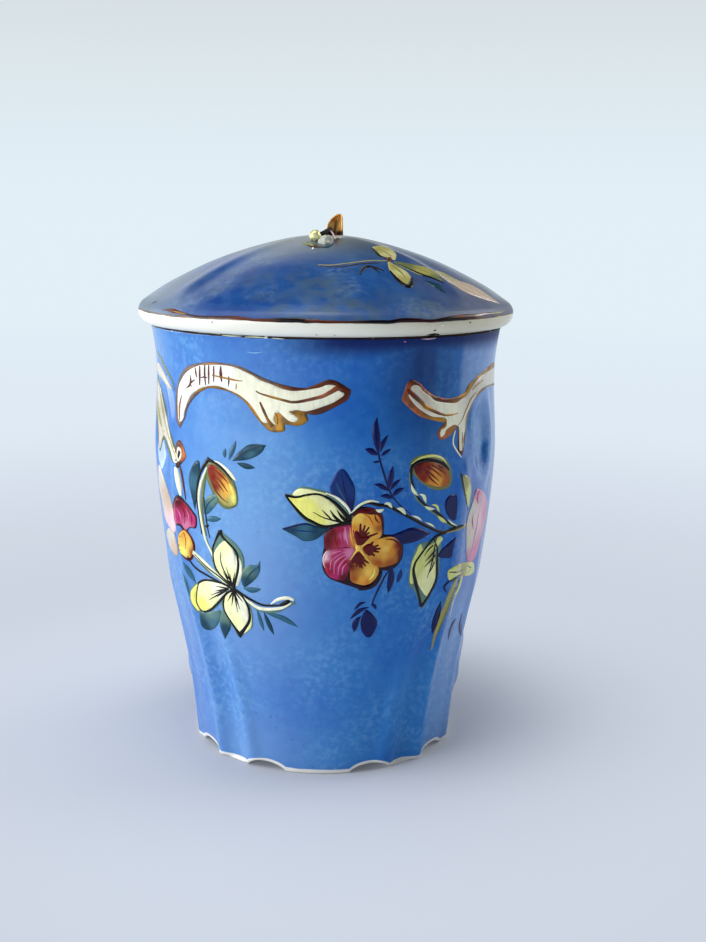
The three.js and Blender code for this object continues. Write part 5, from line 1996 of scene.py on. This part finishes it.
@dataclass
class MugWall:
    """The mug: outer wall with its relief, foot, rim, ledge and inside."""

    rim_height: float = 100.0
    rim_radius: float = 40.9
    rim_round: float = 0.8
    foot_radius: float = 31.2
    foot_ring: float = 4.2
    foot_recess: float = 1.8
    foot_round: float = 0.45
    wall: float = 3.0
    floor: float = 4.5
    floor_round: float = 7.0
    rebate_radius: float = 37.8
    bore_radius: float = 35.6
    ledge_height: float = 96.0
    collar_foot: float = 92.0
    collar_fade: float = 9.0
    stations: tuple[Point, ...] = (
        (0.0, 31.2),
        (18.0, 33.1),
        (31.0, 35.5),
        (43.0, 38.0),
        (69.0, 40.5),
        (90.0, 39.8),
        (100.0, 40.9),
    )
    columns: int = 400
    rings: int = 196
    relief: Relief = field(default_factory=Relief)
    piece: Thing | None = None

    def profile(self) -> tuple[list[Point], dict[str, list[float]]]:
        """The wall's profile from the middle of the foot round to the middle of the floor.

        Returns:
            The points and the numbers stored with them.
        """
        curve = smooth_curve(self.stations)
        ring_inner = self.foot_radius - self.foot_ring
        under = [(0.0, self.foot_recess), (ring_inner - 2.4, self.foot_recess)]
        under += [(ring_inner - 0.6, self.foot_recess - 0.5), (ring_inner, 0.3), (ring_inner + 0.4, 0.0)]
        under += [(ring_inner + 1.8, 0.0)]
        under += arc(self.foot_radius - self.foot_round, self.foot_round, self.foot_round, -90, -20, 4)
        outer_top = self.rim_height - self.rim_round
        share = np.linspace(0, 1, self.rings)
        heights = self.foot_round + (outer_top - self.foot_round) * (0.55 * share + 0.45 * share**1.6)
        outer = [(float(curve(h)), float(h)) for h in heights]
        rim = arc(self.rim_radius - self.rim_round, outer_top, self.rim_round, 12, 90, 6)
        inner_edge = self.rebate_radius + self.rim_round / 2
        inside = arc(inner_edge, self.rim_height - self.rim_round / 2, self.rim_round / 2, 90, 180, 3)
        ledge = self.ledge_height
        inside += [(self.rebate_radius, ledge + 0.3), (self.rebate_radius - 0.3, ledge)]
        inside += [(self.bore_radius + 0.4, ledge), (self.bore_radius, ledge - 0.4)]
        inside += [(self.bore_radius, self.collar_foot)]
        round_top = self.floor + self.floor_round
        for height in np.linspace(self.collar_foot - self.collar_fade, round_top, 10):
            inside.append((float(curve(height)) - self.wall, float(height)))
        corner = float(curve(round_top)) - self.wall - self.floor_round
        inside += arc(corner, round_top, self.floor_round, 0, -90, 6)[1:]
        inside.append((0.0, self.floor))
        points = under + outer + rim + inside
        low, high = len(under), len(under) + len(outer)
        away = [-10.0] * len(inside)
        numbers = {
            "outside": [0.0] * low + [1.0] * len(outer) + [0.0] * (len(rim) + len(inside)),
            "skirt": [0.0] + [1.0] * (high - 1) + [0.0] * (len(rim) + len(inside)),
            "rise": [-10.0] * low + [h for _, h in outer] + [self.rim_height] * len(rim) + away,
            "drop": [self.rim_height] * low + [self.rim_height - h for _, h in outer]
            + [self.rim_height - h for _, h in rim] + away,
        }
        return points, numbers

    def build(self, finish: Material) -> Thing:
        """Makes the mug.

        Args:
            finish: The wall's material.

        Returns:
            The mug's mesh object.
        """
        points, numbers = self.profile()
        self.piece = revolved("mug_wall", points, self.columns, numbers)
        shape = ShapeTree("lobed_wall", asdict(self.relief))
        out, up = self.relief.field(shape)
        x, y, _ = shape.place()
        radius = (x * x + y * y).math("SQRT").math("MAXIMUM", 0.001)
        moved = shape.move(x / radius * out, y / radius * out, up)
        shape.apply(self.piece, moved, finish)
        return dress(self.piece, "mug", "blue_glaze", "mug_body")


@dataclass
class Lid:
    """The domed lid: crown with soft ridges, rounded rim and the ring that centres it."""

    rim_height: float = 100.0
    radius: float = 43.7
    band_round: float = 2.9
    join_angle: float = 55.0
    wall: float = 3.0
    spigot_radius: float = 32.1
    spigot_wall: float = 2.6
    spigot_depth: float = 4.5
    ridge_angle: float = 50.0
    ridge_relief: float = 0.7
    ridge_width: float = 2.6
    eave_radius: float = 36.0
    crown: tuple[Point, ...] = ((0.0, 20.4), (10.0, 19.2), (24.0, 15.1), (36.0, 9.5))
    columns: int = 360
    line_angle: float = 8.0
    piece: Thing | None = None

    def join(self) -> Point:
        """Finds where the rounded rim meets the crown.

        Returns:
            The radius and the height there.
        """
        angle = self.join_angle * DEGREE
        inner = self.radius - self.band_round
        return inner + self.band_round * math.cos(angle), self.band_round * (1 + math.sin(angle))

    def profile(self) -> tuple[list[Point], dict[str, list[float]]]:
        """The lid's profile from below on the axis, round its rim, to its apex.

        Returns:
            The points and the numbers stored with them.
        """
        join_radius, join_height = self.join()
        dome = smooth_curve((*self.crown, (join_radius, join_height)))
        top = self.rim_height
        inner = self.spigot_radius - self.spigot_wall
        foot = top - self.spigot_depth
        points: list[Point] = [(0.0, top + float(dome(0.0)) - self.wall)]
        for radius in np.linspace(0, inner, 16)[1:-1]:
            points.append((float(radius), top + float(dome(radius)) - self.wall))
        points += [(inner, top + float(dome(inner)) - self.wall - 1.5), (inner, foot + 0.6)]
        points += [(inner + 0.6, foot), (self.spigot_radius - 0.6, foot), (self.spigot_radius, foot + 0.6)]
        points += [(self.spigot_radius, top - 0.4), (self.spigot_radius + 0.4, top)]
        under = len(points)
        nose = self.radius - self.band_round
        band = arc(nose, top + self.band_round, self.band_round, -90, self.join_angle, 30)
        points += band
        crown_radii = np.linspace(join_radius, 0, 90)[1:]
        points += [(float(r), top + float(dome(r))) for r in crown_radii]
        line = self.line_angle * DEGREE
        band_places = np.linspace(-math.pi / 2, self.join_angle * DEGREE, 31)
        on_band = [float((a - line) * self.band_round) for a in band_places]
        past = on_band[-1]
        on_crown = [past + float(join_radius - r) for r in crown_radii]
        numbers = {
            "dome": [-20.0] * under + on_band + on_crown,
            "upside": [0.0] * under + [0.0] * len(band) + [1.0] * len(crown_radii),
        }
        return points, numbers

    def build(self, finish: Material) -> Thing:
        """Makes the lid.

        Args:
            finish: The lid's material.

        Returns:
            The lid's mesh object.
        """
        points, numbers = self.profile()
        self.piece = revolved("lid_shell", points, self.columns, numbers)
        sizes = {
            "ridge_angle": self.ridge_angle,
            "ridge_relief": self.ridge_relief,
            "ridge_width": self.ridge_width,
            "eave_radius": self.eave_radius,
            "join_radius": self.join()[0],
        }
        shape = ShapeTree("lid_ridges", sizes)
        x, y, z = shape.place()
        radius = (x * x + y * y).math("SQRT")
        turn = x.math("ARCTAN2", y * -1.0).math("ABSOLUTE")
        folded = turn.math("MINIMUM", math.pi - turn)
        across = (folded - shape.size("ridge_angle") * DEGREE) * radius
        start = radius.ramp(0.0, shape.size("eave_radius"))
        end = 1.0 - radius.ramp(shape.size("eave_radius"), shape.size("join_radius"))
        rise = shape.size("ridge_relief") * start * end * across.bump(shape.size("ridge_width"))
        still = x * 0.0
        moved = shape.move(still, still, rise * shape.attribute("upside"))
        shape.apply(self.piece, moved, finish)
        return dress(self.piece, "cover", "blue_glaze", "lid")


@dataclass
class Infuser:
    """The pierced porcelain basket that hangs by its flange on the mug's ledge."""

    ledge_height: float = 96.0
    flange_radius: float = 37.4
    flange_thickness: float = 3.4
    radius: float = 34.9
    wall: float = 2.2
    bottom: float = 36.0
    floor_radius: float = 23.0
    floor_round: float = 6.0
    hole_radius: float = 1.2
    side_holes: int = 12
    side_rows: int = 3
    row_pitch: float = 8.0
    row_start: float = 13.0
    floor_rings: int = 2
    ring_pitch: float = 6.5
    columns: int = 144

    def profile(self) -> list[Point]:
        """The basket's profile from below on the axis, over its flange, to its floor.

        Returns:
            The points.
        """
        top = self.ledge_height + self.flange_thickness
        corner = self.floor_radius - self.floor_round
        points = [(0.0, self.bottom)]
        points += arc(corner, self.bottom + self.floor_round, self.floor_round, -90, 0, 8)
        ledge = self.ledge_height
        points += [(self.radius, ledge - 0.3), (self.radius + 0.3, ledge)]
        points += [(self.flange_radius - 0.3, ledge), (self.flange_radius, ledge + 0.3)]
        points += arc(self.flange_radius - 0.7, top - 0.7, 0.7, 0, 90, 4)
        inner = self.radius - self.wall
        points += arc(inner + 0.8, top - 0.8, 0.8, 90, 180, 4)
        points += [(inner, self.ledge_height)]
        inner_round = self.floor_round - self.wall / 2
        inner_floor = self.floor_radius - self.wall - inner_round
        floor_top = self.bottom + self.wall
        points += arc(inner_floor, floor_top + inner_round, inner_round, 0, -90, 8)
        points.append((0.0, floor_top))
        return points

    def hole_places(self) -> np.ndarray:
        """Places the holes in the floor and the side.

        Returns:
            Rows of six numbers: where a hole is and the direction it faces.
        """
        rows = [(0.0, 0.0, self.bottom, 0.0, 0.0, -1.0)]
        for ring in range(1, self.floor_rings + 1):
            for i in range(ring * 6):
                a = i / (ring * 6) * 2 * math.pi
                reach = ring * self.ring_pitch
                rows.append((reach * math.cos(a), reach * math.sin(a), self.bottom, 0.0, 0.0, -1.0))
        taper_foot = self.bottom + self.floor_round
        for row in range(self.side_rows):
            height = self.bottom + self.row_start + row * self.row_pitch
            climb = (height - taper_foot) / (self.ledge_height - taper_foot)
            reach = self.floor_radius + (self.radius - self.floor_radius) * climb - self.wall / 2
            for i in range(self.side_holes):
                a = (i + (row % 2) / 2) / self.side_holes * 2 * math.pi
                rows.append((reach * math.cos(a), reach * math.sin(a), height, math.cos(a), math.sin(a), 0.0))
        return np.array(rows)

    def build(self, finish: Material) -> Thing:
        """Makes the basket and pierces it with instanced cutters.

        Args:
            finish: The basket's material.

        Returns:
            The basket's mesh object.
        """
        basket = revolved("infuser_pierced", self.profile(), self.columns)
        places = self.hole_places()
        marks = mesh_object("hole_marks", places[:, :3], [])
        facing = marks.data.attributes.new("facing", "FLOAT_VECTOR", "POINT")
        facing.data.foreach_set("vector", places[:, 3:].astype(np.float32).ravel())
        shape = ShapeTree("perforations", {"hole_radius": self.hole_radius, "cut_length": self.wall * 4})
        info = shape.node("GeometryNodeObjectInfo", {"Object": marks}, transform_space="ORIGINAL")
        radius, depth = shape.size("hole_radius") * MM, shape.size("cut_length") * MM
        cutter = shape.node("GeometryNodeMeshCylinder", {"Vertices": 20, "Radius": radius, "Depth": depth})
        way = shape.node("GeometryNodeInputNamedAttribute", {0: "facing"}, data_type="FLOAT_VECTOR")
        turn = shape.node("FunctionNodeAlignRotationToVector", {"Vector": way}, axis="Z")
        feeds = {"Points": info.outputs["Geometry"], "Instance": cutter, "Rotation": turn}
        copies = shape.node("GeometryNodeInstanceOnPoints", feeds)
        real = shape.node("GeometryNodeRealizeInstances", {0: copies})
        feeds = {0: shape.source, 1: real}
        cut = shape.node("GeometryNodeMeshBoolean", feeds, operation="DIFFERENCE", solver="EXACT")
        shape.apply(basket, cut, finish)
        bpy.data.objects.remove(marks)
        basket.data.materials.clear()
        basket.data.materials.append(finish)
        basket.data.polygons.foreach_set("material_index", [0] * len(basket.data.polygons))
        basket.data.set_sharp_from_angle(angle=40 * DEGREE)
        return dress(basket, "infuser", "white_glaze", "infuser_basket")


@dataclass
class Knob:
    """The knob: a porcelain root with a gilt bud and a curled gilt leaf joined by a dark twig."""

    root: Vector = Vector((0.35, -12.0, 118.45))
    root_size: Vector = Vector((1.6, 2.3, 1.8))
    heel: Vector = Vector((2.5, -5.4, 119.5))
    heel_size: Vector = Vector((1.9, 3.4, 0.62))
    bud: Vector = Vector((-2.15, -10.7, 120.05))
    bud_radius: float = 1.36
    petals: int = 5
    leaf_foot: float = 120.15
    leaf_tip: float = 125.0
    leaf_depth: float = 4.0
    leaf_back: float = 0.9
    leaf_lean: float = 0.4
    leaf_wall: float = 0.34
    leaf_turn: float = 66.0
    leaf_left: Trace = (
        (120.1, -0.15), (121.9, 0.05), (122.8, 0.35), (123.8, 1.0), (124.7, 2.1), (125.0, 2.8)
    )
    leaf_right: Trace = ((120.1, 3.88), (122.4, 3.82), (124.3, 3.7), (124.8, 3.5), (125.0, 3.1))
    twig_girth: float = 0.52
    twig: Course = ((-1.5, -10.6, 120.1), (-0.4, -9.4, 120.6), (0.4, -7.2, 121.1), (1.0, -4.6, 121.5))
    vein_girth: float = 0.19
    vein: Course = ((0.75, -5.1, 121.3), (1.3, -7.0, 120.95), (1.9, -9.6, 120.35), (2.5, -11.6, 119.3))

    def lump(
        self,
        name: str,
        centre: Vector,
        size: Vector,
        ripple: Callable[[np.ndarray, np.ndarray], np.ndarray],
        finish: Material,
    ) -> Thing:
        """A closed rounded body that faces the front.

        Args:
            name: The object's name.
            centre: Its middle in millimetres.
            size: Its three half-sizes in millimetres.
            ripple: The share of the size at angles from and round the front.
            finish: Its material.

        Returns:
            The body.
        """
        fine, around = 40, 72
        polar = np.linspace(0, math.pi, fine + 1)[1:-1, None]
        turn = np.arange(around) * (2 * math.pi / around)
        share = ripple(polar, turn)
        x = share * np.sin(polar) * np.cos(turn)
        y = -share * np.cos(polar) * np.ones_like(turn)
        z = share * np.sin(polar) * np.sin(turn)
        ends = [float(ripple(np.array([[end]]), np.array([0.0]))[0, 0]) for end in (0.0, math.pi)]
        rings = np.stack([x, y, z], axis=-1).reshape(-1, 3)
        points = np.vstack([[[0, -ends[0], 0]], rings, [[0, ends[1], 0]]]) * size + centre
        faces = [face[::-1] for face in ring_faces(fine - 1, around)]
        return mesh_object(name, points, faces, finish)

    def petal_ripple(self, polar: np.ndarray, turn: np.ndarray) -> np.ndarray:
        """The bud's closed petals, with furrows between them and a dimple in front."""
        furrow = (1 - np.abs(np.cos(turn * self.petals / 2 + 0.5))) ** 5
        return 1 - 0.18 * furrow * np.sin(polar) ** 2 - 0.07 * np.exp(-((polar / 0.3) ** 2))

    def root_ripple(self, polar: np.ndarray, turn: np.ndarray) -> np.ndarray:
        """The lump's uneven skin."""
        swell = 0.08 * np.sin(3 * turn + 4 * polar) + 0.05 * np.sin(7 * turn - 9 * polar)
        return 1 + swell * np.sin(polar) + 0.05 * np.cos(5 * polar)

    def leaf(self, finish: Material) -> Thing:
        """The curled leaf: a hood that is open to the front.

        Args:
            finish: Its material.

        Returns:
            The leaf.
        """
        left, right = smooth_curve(self.leaf_left), smooth_curve(self.leaf_right)
        rows, columns = 44, 48
        climb = np.sin(np.linspace(0, math.pi / 2, rows))
        height = (self.leaf_foot + (self.leaf_tip - self.leaf_foot) * climb)[:, None]
        turn = np.linspace(-self.leaf_turn, self.leaf_turn, columns) * DEGREE
        layers = []
        for inset in (0.0, self.leaf_wall):
            half = np.maximum((right(height) - left(height)) / 2 - inset, 0.05)
            middle = (right(height) + left(height)) / 2
            depth = np.maximum(self.leaf_depth * np.sqrt(half / 2.0) - inset, 0.05)
            back = -self.leaf_back - self.leaf_lean * climb[:, None] ** 2 - inset
            x = middle + half * np.sin(turn) / math.sin(self.leaf_turn * DEGREE)
            y = back - depth * (1 - np.cos(turn))
            z = height - inset * climb[:, None] ** 6 + 0 * turn
            layers.append(np.stack([x, y, z], axis=-1).reshape(-1, 3))
        points = np.vstack(layers)
        count = rows * columns
        grid = np.arange(count).reshape(rows, columns)
        faces = []
        for i in range(rows - 1):
            for j in range(columns - 1):
                corners = (grid[i, j], grid[i, j + 1], grid[i + 1, j + 1], grid[i + 1, j])
                faces.append(tuple(int(c) for c in corners[::-1]))
                faces.append(tuple(int(c) + count for c in corners))
        border = [*grid[0, :-1], *grid[:-1, -1], *grid[-1, :0:-1], *grid[:0:-1, 0]]
        for start, end in zip(border, border[1:] + border[:1]):
            a, b = int(start), int(end)
            faces.append((a, b, b + count, a + count))
        return mesh_object("knob_leaf_hood", points, faces, finish)

    def tube(self, name: str, course: Course, girth: float, finish: Material) -> Thing:
        """A round stem along a course, swept with Geometry Nodes.

        Args:
            name: The object's name.
            course: Its spots in millimetres.
            girth: Its radius in millimetres.
            finish: Its material.

        Returns:
            The stem.
        """
        piece = mesh_object(name, through(course, False, 0.15), [])
        shape = ShapeTree(f"{name}_sweep", {"girth": girth})
        spots = shape.node("GeometryNodeMeshToPoints", {"Mesh": shape.source})
        path = shape.node("GeometryNodePointsToCurves", {"Points": spots})
        radius = shape.size("girth") * MM
        ring = shape.node("GeometryNodeCurvePrimitiveCircle", {"Resolution": 20, "Radius": radius})
        feeds = {"Curve": path, "Profile Curve": ring, "Fill Caps": True}
        return shape.apply(piece, shape.node("GeometryNodeCurveToMesh", feeds), finish)

    def build(self) -> None:
        """Makes the knob's pieces and sets them on the lid."""
        gold = LeafGold().build()
        yellow, ochre = paint(255, 252, 184), paint(96, 84, 30)
        pale = Gilding("bud_gilding", yellow, ochre, wear=0.66, gloss=0.14, metal=0.5).build()
        stone = WhiteGlaze("root_glaze", paint(208, 208, 196), paint(128, 134, 122), gloss=0.3).build()
        # Painted shade: the gilded twig is coloured near black for the dark its gold reflects.
        bark = WhiteGlaze("twig_glaze", paint(12, 6, 4), paint(7, 4, 3), paint(34, 18, 8), gloss=0.85).build()
        vein = WhiteGlaze("vein_glaze", paint(232, 206, 208), paint(196, 170, 172)).build()
        root = self.lump("knob_root_lump", self.root, self.root_size, self.root_ripple, stone)
        dress(root, "cover", "white_glaze", "knob_root")
        heel = self.lump("knob_heel", self.heel, self.heel_size, self.root_ripple, stone)
        dress(heel, "cover", "white_glaze")
        size = Vector((1, 1, 1)) * self.bud_radius
        petals = self.lump("knob_petals", self.bud, size, self.petal_ripple, pale)
        dress(petals, "cover", "gilding", "knob_bud")
        dress(self.leaf(gold), "cover", "gilding", "knob_leaf")
        dress(self.tube("knob_twig_stem", self.twig, self.twig_girth, bark), "cover", "gilding", "knob_twig")
        dress(self.tube("knob_vein", self.vein, self.vein_girth, vein), "cover", "white_glaze")


@dataclass
class Painting:
    """The painted decoration of the wall, the same in front and behind, and the lid's spray."""

    camera: PhotoCamera
    wall: Thing
    lid: Thing
    faces_round: int = 2

    def build(self, enamel: Material, gold: Material) -> None:
        """Paints wall and lid.

        Args:
            enamel: The enamel's material.
            gold: The gilt's material.
        """
        wall = Canvas(self.camera, self.wall, Ware.WALL)
        wall.paint(mark for marks in (*WALL_MOTIFS, RIM_WEAR_AND_SHADOW) for mark in marks)
        wall.repeat(self.faces_round)
        dress(wall.wrap("wall_enamel", Pot.ENAMEL, enamel), "mug", "white_glaze")
        dress(wall.wrap("wall_gilding", Pot.GILT, gold), "mug", "gilding")
        lid = Canvas(self.camera, self.lid, Ware.LID)
        lid.paint(LID_SPRIG)
        dress(lid.wrap("lid_enamel", Pot.ENAMEL, enamel), "cover", "white_glaze")
        band = Canvas(self.camera, self.lid, Ware.WALL)
        band.paint(BAND_LINE)
        band.repeat(self.faces_round)
        dress(band.wrap("band_enamel", Pot.ENAMEL, enamel), "cover", "white_glaze")
        dress(band.wrap("band_gilding", Pot.GILT, gold), "cover", "gilding")


def main() -> None:
    """Builds the camera, the studio, the mug, its lid, their painting, the infuser and the knob, in that
    order.
    """
    logging.basicConfig(level=logging.INFO, format="%(name)s %(message)s")
    camera = PhotoCamera()
    camera.build()
    Studio().build()
    porcelain = WhiteGlaze().build()
    wall = MugWall().build(BlueGround().build())
    lid = Lid().build(LidGlaze().build())
    Painting(camera, wall, lid).build(Enamel().build(), PaintedGold().build())
    Infuser().build(porcelain)
    Knob().build()


if __name__ == "__main__":
    main()
